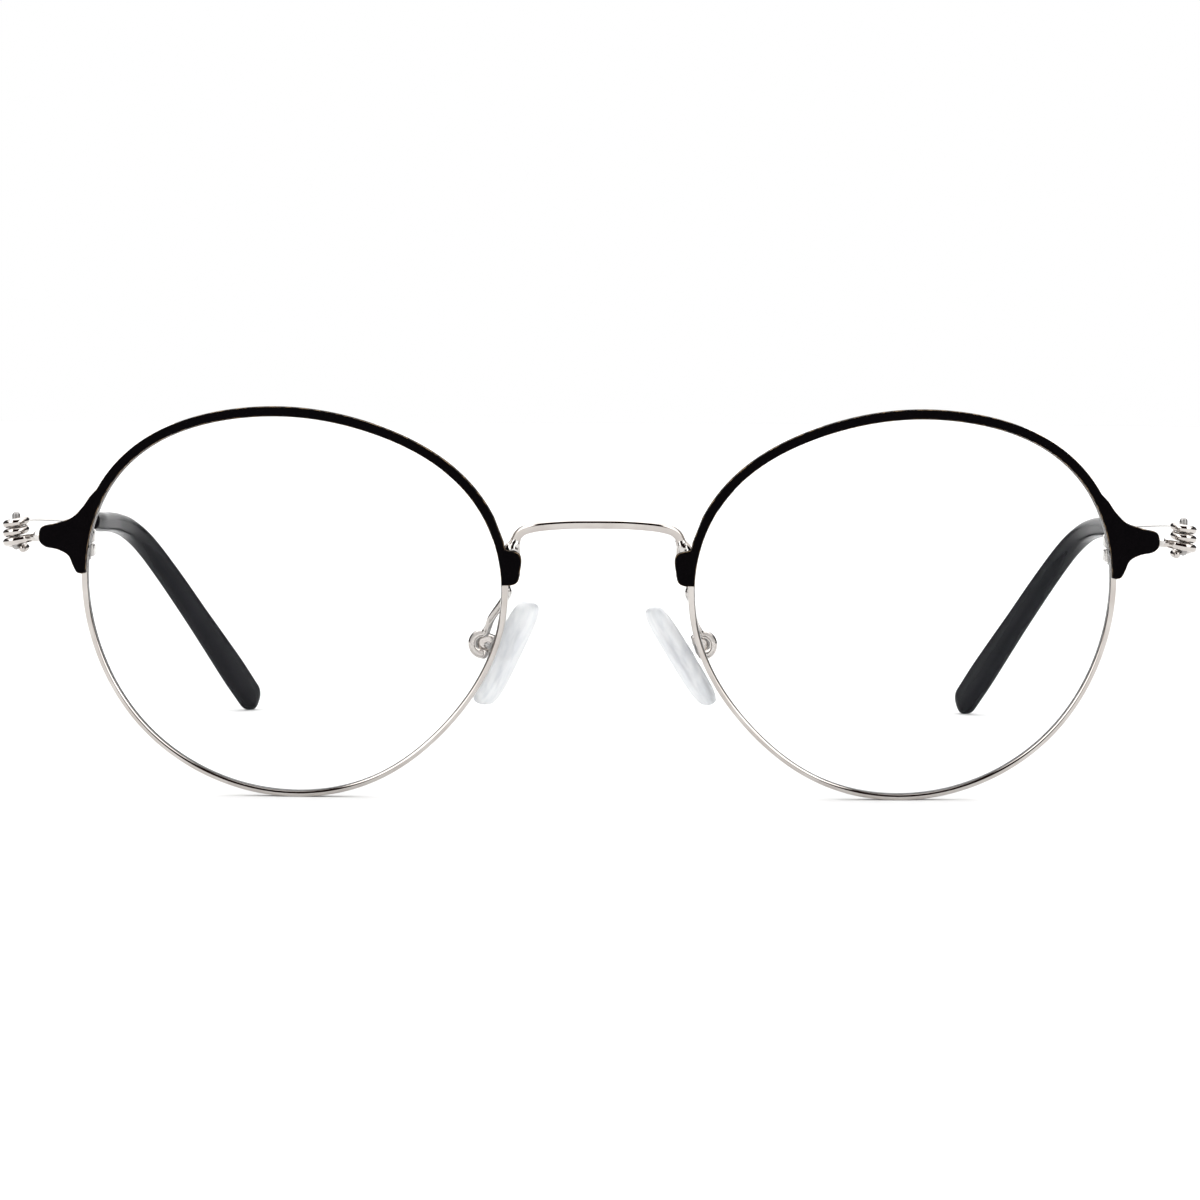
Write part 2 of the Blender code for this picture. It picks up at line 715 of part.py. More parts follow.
def build_pad_arm(label, side, front):
    """The pad arm: a wire from the back of the rim, down behind the lens and round the face of the pad box."""
    pivot = pad_pivot(label, side)
    root = [Vector((side * x, y, z)) for x, y, z in PAD_ARM_ROOT]
    hook = [pivot + Vector((side * x, y, z)) for x, y, z in PAD_ARM_HOOK]
    route = smooth_route(root + hook, 3)
    wire(
        "pad_arm_" + label, route, PAD_ARM_RADIUS, "polished_silver", front,
        round_start=True, round_end=True,
    )


def build_pad_box(label, side, front):
    """A small clevis that holds the pad's stem, its slot facing the pad, with a bore front to back."""
    tilt = (0.0, -side * BOX_TILT, 0.0)
    mount = add_empty("pad_box_place_" + label, pad_pivot(label, side), tilt, front)
    centre = (side * BOX_SHIFT, 0.0, 0.0)
    obj = box("pad_box_" + label, BOX_SIZE, centre, "polished_silver", mount, BOX_BEVEL)
    slot_size = (BOX_SIZE[0], BOX_SLOT_WIDTH, BOX_SIZE[2] * 2)
    slot_centre = (side * (BOX_SHIFT + BOX_SLOT_SHIFT), 0.0, 0.0)
    slot = box("pad_slot_" + label, slot_size, slot_centre, None, mount, 0.0, GUIDES)
    cut(obj, make_guide(slot))
    cut(obj, pad_screw_bore("pad_bore_" + label, mount))
    return mount


def pad_screw_bore(name, parent):
    """A cutter for the pad screw's hole, front to back through the pivot."""
    bore = turned(
        name, bore_profile(PAD_SCREW_RADIUS + PAD_SCREW_GAP, PAD_BORE_REACH), None, parent,
        WIRE_SIDES, GUIDES,
    )
    bore.rotation_euler = (math.pi / 2, 0.0, 0.0)
    return make_guide(bore)


def build_pad_screw(label, mount):
    """The pad screw, its low domed head on the front face of the box."""
    half = BOX_SIZE[1] / 2
    r = PAD_SCREW_RADIUS
    head = PAD_SCREW_HEAD_RADIUS
    screw = turned(
        "pad_screw_" + label,
        [
            (0.0, half + 0.3), (head * 0.6, half + 0.25), (head, half + 0.1), (head, half + 0.03),
            (r, half + 0.03), (r, -half + 0.08), (r - 0.08, -half), (0.0, -half),
        ],
        "screw_steel", mount, WIRE_SIDES,
    )
    screw.rotation_euler = (math.pi / 2, 0.0, 0.0)


def build_pad_core(label, side, pad):
    """The hard insert: an oval plate inside the silicone with a stem that swings in the box."""
    core = pad_core_mesh("pad_core_" + label, label, side, 0.0, "pad_core_plastic", pad, PARTS)
    cut(core, pad_screw_bore("stem_bore_" + label, pad))
    return core


def set_in_pad(bm, label, side):
    """Turn a shape built around the pad's own middle by the splay and move it to the pad's place."""
    bmesh.ops.rotate(bm, matrix=Matrix.Rotation(side * PAD_SPLAY[label], 3, "Z"), verts=bm.verts)
    bmesh.ops.translate(bm, vec=Vector((-side * PAD_OFFSET, 0.0, -PAD_DROP)) * MM, verts=bm.verts)


def pad_core_mesh(name, label, side, gap, material, pad, collection):
    """The core's outer shape, grown by a gap on every side: plate and stem joined by a Boolean union."""
    bm = bmesh.new()
    bmesh.ops.create_cone(bm, cap_ends=True, segments=CORE_SIDES, radius1=0.5, radius2=0.5, depth=1.0)
    bmesh.ops.rotate(bm, matrix=Matrix.Rotation(math.pi / 2, 3, "Y"), verts=bm.verts)
    plate_size = Vector([size + 2 * gap for size in CORE_PLATE_SIZE])
    bmesh.ops.scale(bm, vec=plate_size * MM, verts=bm.verts)
    set_in_pad(bm, label, side)
    plate = add_object(name, mesh_from_bmesh(name, bm), material, pad, collection)

    length = STEM_SIZE[0]
    stem_width = STEM_SIZE[1] + 2 * gap
    stem_height = STEM_SIZE[2] + 2 * gap
    stem_centre = (-side * length / 2, 0.0, 0.0)
    stem = box(name + "_stem", (length, stem_width, stem_height), stem_centre, None, pad, 0.0, GUIDES)
    knuckle_half = stem_width / 2
    knuckle = turned(
        name + "_knuckle", bore_profile(stem_height / 2, knuckle_half), None, pad, CORE_SIDES, GUIDES,
    )
    knuckle.rotation_euler = (math.pi / 2, 0.0, 0.0)
    for piece in (stem, knuckle):
        make_guide(piece)
        modifier = plate.modifiers.new("join_" + piece.name, "BOOLEAN")
        modifier.operation = "UNION"
        modifier.solver = "EXACT"
        modifier.object = piece
    return plate


def build_nose_pad(label, side, pad):
    """The silicone pad: a flattened oval with full edges and a pocket for its core."""
    bm = bmesh.new()
    bmesh.ops.create_uvsphere(bm, u_segments=18, v_segments=10, radius=1.0)
    thickness, width, height = PAD_SIZE
    for vert in bm.verts:
        across = max(math.hypot(vert.co.x, vert.co.y), 1e-6)
        spread = across**PAD_END_FULLNESS
        x, y = (math.copysign(abs(c / across) ** PAD_FULLNESS, c) * spread for c in vert.co.xy)
        z = math.copysign(abs(vert.co.z) ** PAD_END_FULLNESS, vert.co.z)
        vert.co = Vector((x * thickness / 2, y * width / 2, z * height / 2)) * MM
    set_in_pad(bm, label, side)
    obj = add_object("nose_pad_" + label, mesh_from_bmesh("nose_pad_" + label, bm), "clear_silicone", pad)
    shade_round(obj.data)
    pocket = pad_core_mesh("pad_pocket_" + label, label, side, PAD_CORE_GAP, None, pad, GUIDES)
    cut(obj, make_guide(pocket))


# ---------------------------------------------------------------- assembly


def build_side(label, side, section):
    front = add_empty("front_" + label, (0.0, FRONT_Y, 0.0), (FRONT_LEAN, 0.0, side * FRONT_SWEEP))
    bpy.context.view_layer.update()
    build_rim(label, side, front, section)
    build_lens(label, side, front)
    build_brow_plate(label, side, front)
    build_lock(label, side, front)

    hinge = add_empty("hinge_" + label, (side * HINGE_X, FRONT_Y + HINGE_Y, 0.0))
    build_endpiece_wire(label, side, hinge, front.matrix_world)
    build_hinge_pin(label, side, hinge)
    build_temple_wire(label, side, hinge)
    build_temple_tip(label, side, hinge)

    build_pad_arm(label, side, front)
    mount = build_pad_box(label, side, front)
    build_pad_screw(label, mount)
    rest_tilt = (0.0, -side * PAD_REST_TILT[label], 0.0)
    pad = add_empty("pad_pivot_" + label, pad_pivot(label, side), rest_tilt, front)
    build_pad_core(label, side, pad)
    build_nose_pad(label, side, pad)
    return front


clear_scene()
PARTS = new_collection(OBJECT_NAME)
GUIDES = new_collection("guides_and_cutters")
rim_section = rim_profile()
front_empties = {label: build_side(label, side, rim_section) for label, side in SIDES.items()}
build_bridge({label: empty.matrix_world for label, empty in front_empties.items()})
bpy.context.view_layer.update()
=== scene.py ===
"""The looks of the round wire eyeglasses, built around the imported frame.

Sizes are in millimetres and MM turns them into metres. Each fine piece is made in the place of its CAD
node, from the same dimensions, and rides on that node's body. side is +1 for the wearer's left (+X).
Each trim takes a little off a smooth piece, whose finer facets or squarer section make it reach further
than its CAD node.
"""

import math

import bmesh
import bpy
import numpy as np
from mathutils import Euler, Matrix, Vector, noise


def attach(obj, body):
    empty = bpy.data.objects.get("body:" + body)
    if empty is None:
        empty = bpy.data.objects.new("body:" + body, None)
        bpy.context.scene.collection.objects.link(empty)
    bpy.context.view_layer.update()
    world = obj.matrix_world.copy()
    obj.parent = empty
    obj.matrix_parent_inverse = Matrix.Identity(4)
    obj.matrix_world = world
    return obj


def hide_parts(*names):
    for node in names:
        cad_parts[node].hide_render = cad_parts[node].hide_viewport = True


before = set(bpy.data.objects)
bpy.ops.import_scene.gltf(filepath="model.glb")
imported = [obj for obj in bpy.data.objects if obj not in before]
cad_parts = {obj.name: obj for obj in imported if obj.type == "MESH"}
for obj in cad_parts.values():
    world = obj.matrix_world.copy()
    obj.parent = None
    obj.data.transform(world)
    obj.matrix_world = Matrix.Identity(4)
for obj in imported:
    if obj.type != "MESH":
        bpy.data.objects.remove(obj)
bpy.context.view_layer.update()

MM = 0.001
SIDES = {"left": 1, "right": -1}

# ---------------------------------------------------------------- dimensions as in the CAD, with finer steps

FRONT_Y = -61.86
FRONT_LEAN = math.radians(4.0)
FRONT_SWEEP = math.radians(3.0)

LENS_CENTRE_X = 35.2
LENS_CENTRE_Z = 22.75
EYE_RADII = (
    24.0, 24.33, 23.49, 22.12, 21.6, 22.12, 23.62, 25.18, 25.2,
    24.25, 23.43, 22.9, 22.43, 22.17, 22.14, 22.13, 22.24, 23.06,
)

RIM_THICKNESS = 0.68
RIM_DEPTH = 1.9
RIM_MID_Y = 0.72 + RIM_DEPTH / 2
RIM_CROWN = 0.13
GROOVE_DEPTH = 0.3
GROOVE_HALF_WIDTH = 0.42
RIM_SPLIT_ANGLE = 165.0
RIM_SPLIT_HALF_GAP = 0.18
RIM_STEPS = 420

LENS_RISE = 2.03
LENS_THICKNESS = 1.5
LENS_EDGE_GAP = 0.06
LENS_BEVEL_HEIGHT = 0.3
LENS_BEVEL_HALF_WIDTH = 0.36
LENS_STEPS = 216

PLATE_THICKNESS = 0.7
PLATE_INSET = 0.05
PLATE_WIDTH = 1.12
PLATE_ARC = (24.0, 150.0)
PLATE_ENDS = (5.6, 171.9)
PLATE_BEVEL = 0.09
PLATE_WORN_ROW = 3
PLATE_INNER_STEPS = 180
PLATE_OUTER_STEPS = 140
LUG_OUTLINE = (
    (24.95, 3.36), (25.5, 3.52), (25.95, 4.3), (26.5, 5.5), (27.7, 6.17), (29.2, 6.52),
    (29.82, 7.1), (29.9, 7.9), (29.6, 8.78), (27.9, 9.25), (26.0, 9.95), (24.7, 11.2), (23.85, 12.4),
)
BLOCK_OUTLINE = (
    (24.35, 7.45), (24.6, 6.6), (25.6, 6.33), (26.2, 6.0), (26.4, 5.3),
    (26.25, 4.0), (25.95, 2.75), (25.3, 2.4), (24.7, 2.38),
)

BRIDGE_RADIUS = 0.6
BRIDGE_TRIM = 0.05
BRIDGE_FULLNESS = 0.7
BRIDGE_ROUTE = (
    (9.55, 1.36, 26.3), (9.55, 1.36, 28.4), (9.55, 1.32, 29.75), (9.35, 1.25, 30.72), (8.65, 1.12, 31.42),
    (7.5, 0.98, 31.8), (6.0, 0.85, 32.04), (3.0, 0.68, 32.27), (0.0, 0.62, 32.32),
)

COLLAR_STEPS = 14
COLLAR_SIDES = 40

LOCK_X = 60.15
LOCK_Y = 3.52
LOCK_SPLIT_Z = 29.42
LOCK_SIZE = (2.3, 1.72, 1.5)
LOCK_SPLIT_GAP = 0.12
LOCK_SCREW_RADIUS = 0.42
LOCK_HEAD_RADIUS = 0.7
LOCK_BORE_GAP = 0.06

HINGE_X = 68.5
HINGE_Y = 6.1
WIRE_RADIUS = 0.5
WIRE_TRIM = 0.014
COIL_RADIUS = 1.07
COIL_PITCH = 1.06
COIL_STEPS = 64
FIXED_TURN_FRONT_Z = 29.72
FIXED_TURN = (-90.0, 215.0)
TEMPLE_TURN_FRONT_Z = FIXED_TURN_FRONT_Z + 2 * COIL_PITCH
TEMPLE_TURN = (800.0, 180.0)
PIN_RADIUS = 0.48
PIN_BOTTOM_Z = 28.62
PIN_TOP_Z = 33.1
ENDPIECE_ROOT = ((61.9, 1.25, 30.45), (63.9, 1.25, 30.45))
ENDPIECE_LEAD = ((-3.0, -2.88, 30.25), (-1.45, -1.12, 30.0), (-0.6, -1.07, 29.84))

TEMPLE_X = HINGE_X - COIL_RADIUS
TEMPLE_ROUTE = (
    (TEMPLE_X, HINGE_Y + 1.2, 32.25), (TEMPLE_X, HINGE_Y + 4.0, 32.2), (TEMPLE_X, 45.0, 30.75),
    (67.3, 68.0, 29.7), (66.8, 80.0, 29.1), (66.0, 88.0, 27.95), (64.6, 94.0, 25.7),
    (62.3, 100.6, 21.3), (58.6, 109.8, 13.8), (53.02, 123.66, 2.232),
)
CORE_END_SPACE = 16.0
TIP_START_Y = 62.0
TIP_STEPS = 150
TIP_SIDES = 48
TIP_WIDTHS = ((0.0, 1.9), (0.06, 2.5), (0.5, 2.7), (0.85, 2.8), (1.0, 2.7))
TIP_HEIGHTS = ((0.0, 2.0), (0.06, 2.6), (0.35, 2.7), (0.5, 2.95), (0.72, 3.4), (0.92, 4.4), (1.0, 4.2))
TIP_SQUARENESS = 2.8
TIP_END_LENGTH = 2.5
TIP_END_TRIM = 0.06
TIP_BORE_RADIUS = 0.6

PAD_PIVOT_X = {"left": 12.1, "right": 13.4}
PAD_PIVOT_Y = 7.9
PAD_PIVOT_Z = 17.3
PAD_REST_TILT = {"left": math.radians(31.5), "right": math.radians(25.5)}
PAD_SPLAY = {"left": math.radians(14.0), "right": math.radians(19.0)}
PAD_OFFSET = 2.45
PAD_SIZE = (2.1, 7.0, 13.4)
PAD_FULLNESS = 0.75
PAD_END_FULLNESS = 0.5
PAD_DROP = 0.1
BOX_TILT = math.radians(19.0)
BOX_SIZE = (2.05, 2.0, 2.4)
BOX_SHIFT = 0.475
BOX_SLOT_WIDTH = 0.86
BOX_SLOT_SHIFT = -0.3
PAD_SCREW_RADIUS = 0.3
PAD_SCREW_HEAD_RADIUS = 0.42
PAD_SCREW_GAP = 0.05
STEM_SIZE = (2.2, 0.72, 1.2)
CORE_PLATE_SIZE = (0.5, 3.2, 7.6)
PAD_ARM_RADIUS = 0.56
PAD_ARM_TAPER = ((0.0, 0.46), (0.3, 0.44), (0.5, PAD_ARM_RADIUS), (1.0, PAD_ARM_RADIUS))
PAD_ARM_ROOT = ((10.75, 3.23, 24.4), (10.95, 3.23, 23.5))
PAD_ARM_HOOK = (
    (-0.7, -3.4, 3.5), (-0.2, -2.3, 2.3), (0.25, -1.68, 1.55), (1.0, -1.62, 1.34), (1.48, -1.62, 0.88),
    (1.64, -1.62, 0.25), (1.48, -1.62, -0.38), (1.02, -1.62, -0.82), (0.45, -1.62, -0.98),
)

# ---------------------------------------------------------------- the camera, turned in radians

CAMERA_PLACE = (5.2314, -512.02, 48.5536)
CAMERA_PAN = 0.01109
CAMERA_TILT = -0.05581
CAMERA_ROLL = -0.0048
CAMERA_LENS = 116.69
CAMERA_SENSOR = 36.0

# ---------------------------------------------------------------- materials


def new_material(name):
    """A node material: its tree, its Principled shader and a texture coordinate in the object's metres."""
    material = bpy.data.materials.new(name)
    material.use_nodes = True
    tree = material.node_tree
    shader = tree.nodes["Principled BSDF"]
    place = tree.nodes.new("ShaderNodeTexCoord").outputs["Object"]
    return material, tree, shader, place


def add_noise(tree, place, scale, detail=4.0, stretch=None):
    """A noise texture; scale is features per metre, and stretch squeezes it along an axis."""
    if stretch is not None:
        mapping = tree.nodes.new("ShaderNodeMapping")
        mapping.inputs["Scale"].default_value = stretch
        tree.links.new(place, mapping.inputs["Vector"])
        place = mapping.outputs["Vector"]
    node = tree.nodes.new("ShaderNodeTexNoise")
    node.inputs["Scale"].default_value = scale
    node.inputs["Detail"].default_value = detail
    tree.links.new(place, node.inputs["Vector"])
    return node.outputs["Fac"]


def remap(tree, value, low, high, source=(0.3, 0.7)):
    """The value spread between low and high."""
    node = tree.nodes.new("ShaderNodeMapRange")
    node.inputs["From Min"].default_value = source[0]
    node.inputs["From Max"].default_value = source[1]
    node.inputs["To Min"].default_value = low
    node.inputs["To Max"].default_value = high
    tree.links.new(value, node.inputs["Value"])
    return node.outputs["Result"]


def blend_colours(tree, value, low, high, source=(0.3, 0.7)):
    """A colour between two by the value."""
    node = tree.nodes.new("ShaderNodeMix")
    node.data_type = "RGBA"
    tree.links.new(remap(tree, value, 0.0, 1.0, source), node.inputs["Factor"])
    node.inputs[6].default_value = (*low, 1.0)
    node.inputs[7].default_value = (*high, 1.0)
    return node.outputs[2]


def add_bump(tree, shader, height, strength, distance):
    node = tree.nodes.new("ShaderNodeBump")
    node.inputs["Strength"].default_value = strength
    node.inputs["Distance"].default_value = distance
    tree.links.new(height, node.inputs["Height"])
    tree.links.new(node.outputs["Normal"], shader.inputs["Normal"])


def metal(name, dull, bright, rough, bump, scale=900.0, stretch=None):
    """Bare metal: slow shifts of tone, patchy polish and fine drawing marks."""
    material, tree, shader, place = new_material(name)
    shader.inputs["Metallic"].default_value = 1.0
    tone = add_noise(tree, place, scale * 0.3)
    tree.links.new(blend_colours(tree, tone, dull, bright), shader.inputs["Base Color"])
    polish = add_noise(tree, place, scale, 6.0, stretch)
    tree.links.new(remap(tree, polish, *rough), shader.inputs["Roughness"])
    marks = add_noise(tree, place, scale * 5.0, 5.0, stretch)
    add_bump(tree, shader, marks, bump, 0.00002)
    return material


def paint():
    """Satin black paint with a fine orange-peel surface and faint dust."""
    material, tree, shader, place = new_material("satin_black_paint")
    speck = add_noise(tree, place, 5200.0, 3.0)
    tree.links.new(
        blend_colours(tree, speck, (0.0006, 0.0004, 0.0007), (0.0022, 0.0014, 0.002), (0.35, 0.8)),
        shader.inputs["Base Color"],
    )
    cloud = add_noise(tree, place, 420.0, 5.0)
    tree.links.new(remap(tree, cloud, 0.42, 0.62), shader.inputs["Roughness"])
    shader.inputs["Specular IOR Level"].default_value = 0.02
    peel = add_noise(tree, place, 3600.0, 4.0)
    add_bump(tree, shader, peel, 0.25, 0.00003)
    return material


def worn_edge():
    """The painted edge, where brown metal shows through here and there."""
    material, tree, shader, place = new_material("worn_painted_edge")
    patches = add_noise(tree, place, 1500.0, 6.0)
    tree.links.new(
        blend_colours(tree, patches, (0.02, 0.014, 0.01), (0.42, 0.29, 0.17), (0.42, 0.62)),
        shader.inputs["Base Color"],
    )
    tree.links.new(remap(tree, patches, 0.25, 0.95, (0.42, 0.6)), shader.inputs["Metallic"])
    tree.links.new(remap(tree, patches, 0.5, 0.3), shader.inputs["Roughness"])
    add_bump(tree, shader, patches, 0.2, 0.00003)
    return material


def acetate():
    """Polished black acetate: deep black with slow streaks and a hand-polished, slightly wavy gloss."""
    material, tree, shader, place = new_material("polished_black_acetate")
    shader.inputs["Specular IOR Level"].default_value = 0.015
    streak = add_noise(tree, place, 160.0, 5.0, (1.0, 0.25, 1.0))
    tree.links.new(
        blend_colours(tree, streak, (0.0022, 0.002, 0.0026), (0.005, 0.0045, 0.0058)),
        shader.inputs["Base Color"],
    )
    wipe = add_noise(tree, place, 300.0, 3.0)
    tree.links.new(remap(tree, wipe, 0.16, 0.24), shader.inputs["Roughness"])
    wave = add_noise(tree, place, 160.0, 1.0)
    add_bump(tree, shader, wave, 0.08, 0.0002)
    return material


def lens_glass():
    """Clear lens with an anti-reflection coating, so it reflects little, and faint wipe marks."""
    material, tree, shader, place = new_material("coated_clear_lens")
    shader.inputs["Transmission Weight"].default_value = 1.0
    shader.inputs["IOR"].default_value = 1.5
    shader.inputs["Specular Tint"].default_value = (0.1, 0.11, 0.12, 1.0)
    smear = add_noise(tree, place, 90.0, 5.0, (1.0, 1.0, 0.4))
    tree.links.new(
        blend_colours(tree, smear, (0.985, 0.992, 0.992), (1.0, 1.0, 1.0)), shader.inputs["Base Color"]
    )
    tree.links.new(remap(tree, smear, 0.0, 0.003), shader.inputs["Roughness"])
    return material


def ground_edge_painted_shade():
    """The ground bevel of a lens with painted shade: its grain is the real ground finish, and its near-black
    colour is the shade where it sits in the groove.
    """
    material, tree, shader, place = new_material("ground_lens_edge_painted_shade")
    grain = add_noise(tree, place, 5000.0, 4.0)
    tree.links.new(
        blend_colours(tree, grain, (0.004, 0.003, 0.003), (0.02, 0.018, 0.017)), shader.inputs["Base Color"]
    )
    tree.links.new(remap(tree, grain, 0.5, 0.7), shader.inputs["Roughness"])
    add_bump(tree, shader, grain, 0.3, 0.00002)
    return material


def silicone():
    """Frosted, faintly milky silicone."""
    material, tree, shader, place = new_material("frosted_silicone")
    shader.inputs["Transmission Weight"].default_value = 0.62
    shader.inputs["IOR"].default_value = 1.41
    cloud = add_noise(tree, place, 900.0, 4.0, (1.0, 1.0, 0.25))
    tone = blend_colours(tree, cloud, (0.72, 0.74, 0.76), (0.88, 0.89, 0.895), (0.4, 0.6))
    tree.links.new(tone, shader.inputs["Base Color"])
    tree.links.new(remap(tree, cloud, 0.28, 0.42), shader.inputs["Roughness"])
    frost = add_noise(tree, place, 6000.0, 3.0)
    add_bump(tree, shader, frost, 0.06, 0.00003)
    return material


def core_plastic():
    """Hard clear plastic with a cool tint, inside the pad."""
    material, tree, shader, place = new_material("clear_core_plastic")
    shader.inputs["Transmission Weight"].default_value = 0.95
    shader.inputs["IOR"].default_value = 1.53
    flow = add_noise(tree, place, 700.0, 3.0)
    tree.links.new(
        blend_colours(tree, flow, (0.90, 0.91, 0.96), (0.96, 0.965, 0.985)), shader.inputs["Base Color"]
    )
    tree.links.new(remap(tree, flow, 0.05, 0.15), shader.inputs["Roughness"])
    return material


SILVER = metal("polished_silver_wire", (0.44, 0.405, 0.38), (0.54, 0.51, 0.485), (0.03, 0.08), 0.08)
SOLDER = metal("silver_solder", (0.42, 0.40, 0.385), (0.66, 0.64, 0.62), (0.04, 0.2), 0.6, 1600.0)
CAST = metal("cast_silver", (0.44, 0.42, 0.40), (0.58, 0.56, 0.54), (0.12, 0.28), 0.3, 1400.0)
STEEL = metal(
    "turned_steel", (0.36, 0.35, 0.34), (0.52, 0.51, 0.50), (0.12, 0.28), 0.3, 1500.0, (1.0, 1.0, 4.0)
)
PIN = metal("brushed_pin_steel", (0.26, 0.25, 0.245), (0.38, 0.37, 0.36), (0.3, 0.45), 0.3, 1500.0)
# Painted shade: a near-black metal that darkens the rim's groove and its lower inner wall.
GROOVE_SHADE = metal("painted_groove_shade", (0.006, 0.004, 0.003), (0.02, 0.015, 0.012), (0.4, 0.6), 0.3, 1500.0)
PAINT = paint()
WORN = worn_edge()
ACETATE = acetate()
LENS = lens_glass()
# Painted shade: the lens bevel is near-black, as if shadowed in the groove.
LENS_EDGE = ground_edge_painted_shade()
SILICONE = silicone()
CORE = core_plastic()

# ---------------------------------------------------------------- mesh helpers


def smooth_route(points, per_span):
    """Points along a smooth curve through the given points (centripetal Catmull-Rom)."""
    pts = [Vector(p) for p in points]
    pts = [pts[0] * 2 - pts[1]] + pts + [pts[-1] * 2 - pts[-2]]
    out = []
    for i in range(1, len(pts) - 2):
        p0, p1, p2, p3 = pts[i - 1 : i + 3]
        d1 = (p1 - p0).length ** 0.5
        d2 = (p2 - p1).length ** 0.5
        d3 = (p3 - p2).length ** 0.5
        m1 = (p1 - p0) / d1 - (p2 - p0) / (d1 + d2) + (p2 - p1) / d2
        m2 = (p2 - p1) / d2 - (p3 - p1) / (d2 + d3) + (p3 - p2) / d3
        for k in range(per_span):
            t = k / per_span
            out.append(
                p1 * (2 * t**3 - 3 * t**2 + 1)
                + m1 * d2 * (t**3 - 2 * t**2 + t)
                + p2 * (3 * t**2 - 2 * t**3)
                + m2 * d2 * (t**3 - t**2)
            )
    out.append(pts[-2])
    return out


def resample(points, steps):
    """Evenly spaced points along a line."""
    lengths = np.cumsum([0.0] + [(b - a).length for a, b in zip(points, points[1:])])
    out = []
    for distance in np.linspace(0.0, lengths[-1], steps + 1):
        i = min(int(np.searchsorted(lengths, distance, side="right")) - 1, len(points) - 2)
        share = (distance - lengths[i]) / (lengths[i + 1] - lengths[i])
        out.append(points[i].lerp(points[i + 1], share))
    return out


def cut_short(points, space):
    """The same line without its last stretch of the given length."""
    points = list(points)
    left = space
    while (points[-1] - points[-2]).length < left:
        left -= (points[-1] - points[-2]).length
        points.pop()
    step = points[-1] - points[-2]
    points[-1] = points[-1] - step.normalized() * left
    return points


def skin(rings, poles=None):
    """Vertices and faces of a skin over rings of equal count, capped flat or drawn to a point at each end."""
    n = len(rings[0])
    verts = [Vector(p) for ring in rings for p in ring]
    faces = []
    for i in range(len(rings) - 1):
        a = i * n
        b = a + n
        faces += [(a + k, a + (k + 1) % n, b + (k + 1) % n, b + k) for k in range(n)]
    last = len(verts) - n
    if poles is None:
        faces.append(tuple(reversed(range(n))))
        faces.append(tuple(range(last, len(verts))))
    else:
        start = len(verts)
        verts += [Vector(p) for p in poles]
        faces += [(start, (k + 1) % n, k) for k in range(n)]
        faces += [(start + 1, last + k, last + (k + 1) % n) for k in range(n)]
    return verts, faces


def make_mesh(verts, faces):
    """A mesh in millimetres with its faces pointing out."""
    mesh = bpy.data.meshes.new("work")
    mesh.from_pydata([tuple(v) for v in verts], [], faces)
    bm = bmesh.new()
    bm.from_mesh(mesh)
    bmesh.ops.recalc_face_normals(bm, faces=bm.faces)
    bm.to_mesh(mesh)
    bm.free()
    return mesh


def squarer(value, power):
    """A sine or cosine raised to a power with its sign kept: below 1 it makes a section squarer."""
    return math.copysign(abs(value) ** power, value)


def tube(path, radius, sides, fullness=1.0):
    """A wire with domed ends along a path. Radius is a number, or a function of the share of the length.

    The section is round at a fullness of 1, and squarer below it.
    """
    at = radius if callable(radius) else lambda share: radius
    count = len(path) - 1
    stations = [(p, at(i / count)) for i, p in enumerate(path)]
    angles = [math.radians(a) for a in (12, 25, 38, 50, 62, 73, 83, 88)]
    back = (path[0] - path[1]).normalized()
    r = stations[0][1]
    stations = [(path[0] + back * r * math.sin(a), r * math.cos(a)) for a in reversed(angles)] + stations
    on = (path[-1] - path[-2]).normalized()
    r = stations[-1][1]
    stations += [(path[-1] + on * r * math.sin(a), r * math.cos(a)) for a in angles]
    points = [s[0] for s in stations]
    tangents = []
    for i in range(len(points)):
        a = points[max(i - 1, 0)]
        b = points[min(i + 1, len(points) - 1)]
        tangents.append((b - a).normalized())
    helper = Vector((0, 0, 1)) if abs(tangents[0].z) < 0.9 else Vector((0, 1, 0))
    normal = tangents[0].cross(helper).normalized()
    rings = []
    for i, (point, r) in enumerate(stations):
        if i:
            turn = tangents[i - 1].rotation_difference(tangents[i])
            normal = (turn @ normal).normalized()
        other = tangents[i].cross(normal).normalized()
        ring = []
        for k in range(sides):
            a = 2 * math.pi * k / sides
            c = squarer(math.cos(a), fullness)
            s = squarer(math.sin(a), fullness)
            ring.append(point + (normal * c + other * s) * r)
        rings.append(ring)
    return make_mesh(*skin(rings))


def lathe(profile, sides=40):
    """A turned shape about Z through (radius, height) pairs with no zero radius; flat at both ends."""
    rings = []
    for r, z in profile:
        ring = [(r * math.cos(a), r * math.sin(a), z) for a in np.linspace(0, 2 * math.pi, sides, False)]
        rings.append(ring)
    return make_mesh(*skin(rings))


def rounded_box(size, centre, bevel, segments=4):
    bm = bmesh.new()
    bmesh.ops.create_cube(bm, size=1.0)
    bmesh.ops.scale(bm, vec=size, verts=bm.verts)
    bmesh.ops.translate(bm, vec=centre, verts=bm.verts)
    if bevel > 0:
        bmesh.ops.bevel(bm, geom=bm.edges, offset=bevel, segments=segments, profile=0.5, affect="EDGES")
    bmesh.ops.recalc_face_normals(bm, faces=bm.faces)
    mesh = bpy.data.meshes.new("work")
    bm.to_mesh(mesh)
    bm.free()
    return mesh


def boolean(mesh, tool, operation="DIFFERENCE"):
    """The mesh with the tool cut from it or joined to it."""
    work = bpy.data.objects.new("work", mesh)
    other = bpy.data.objects.new("tool", tool)
    for obj in (work, other):
        bpy.context.scene.collection.objects.link(obj)
    modifier = work.modifiers.new("boolean", "BOOLEAN")
    modifier.operation = operation
    modifier.solver = "EXACT"
    modifier.object = other
    bpy.context.view_layer.update()
    graph = bpy.context.evaluated_depsgraph_get()
    result = bpy.data.meshes.new_from_object(work.evaluated_get(graph))
    bpy.data.objects.remove(work)
    bpy.data.objects.remove(other)
    return result


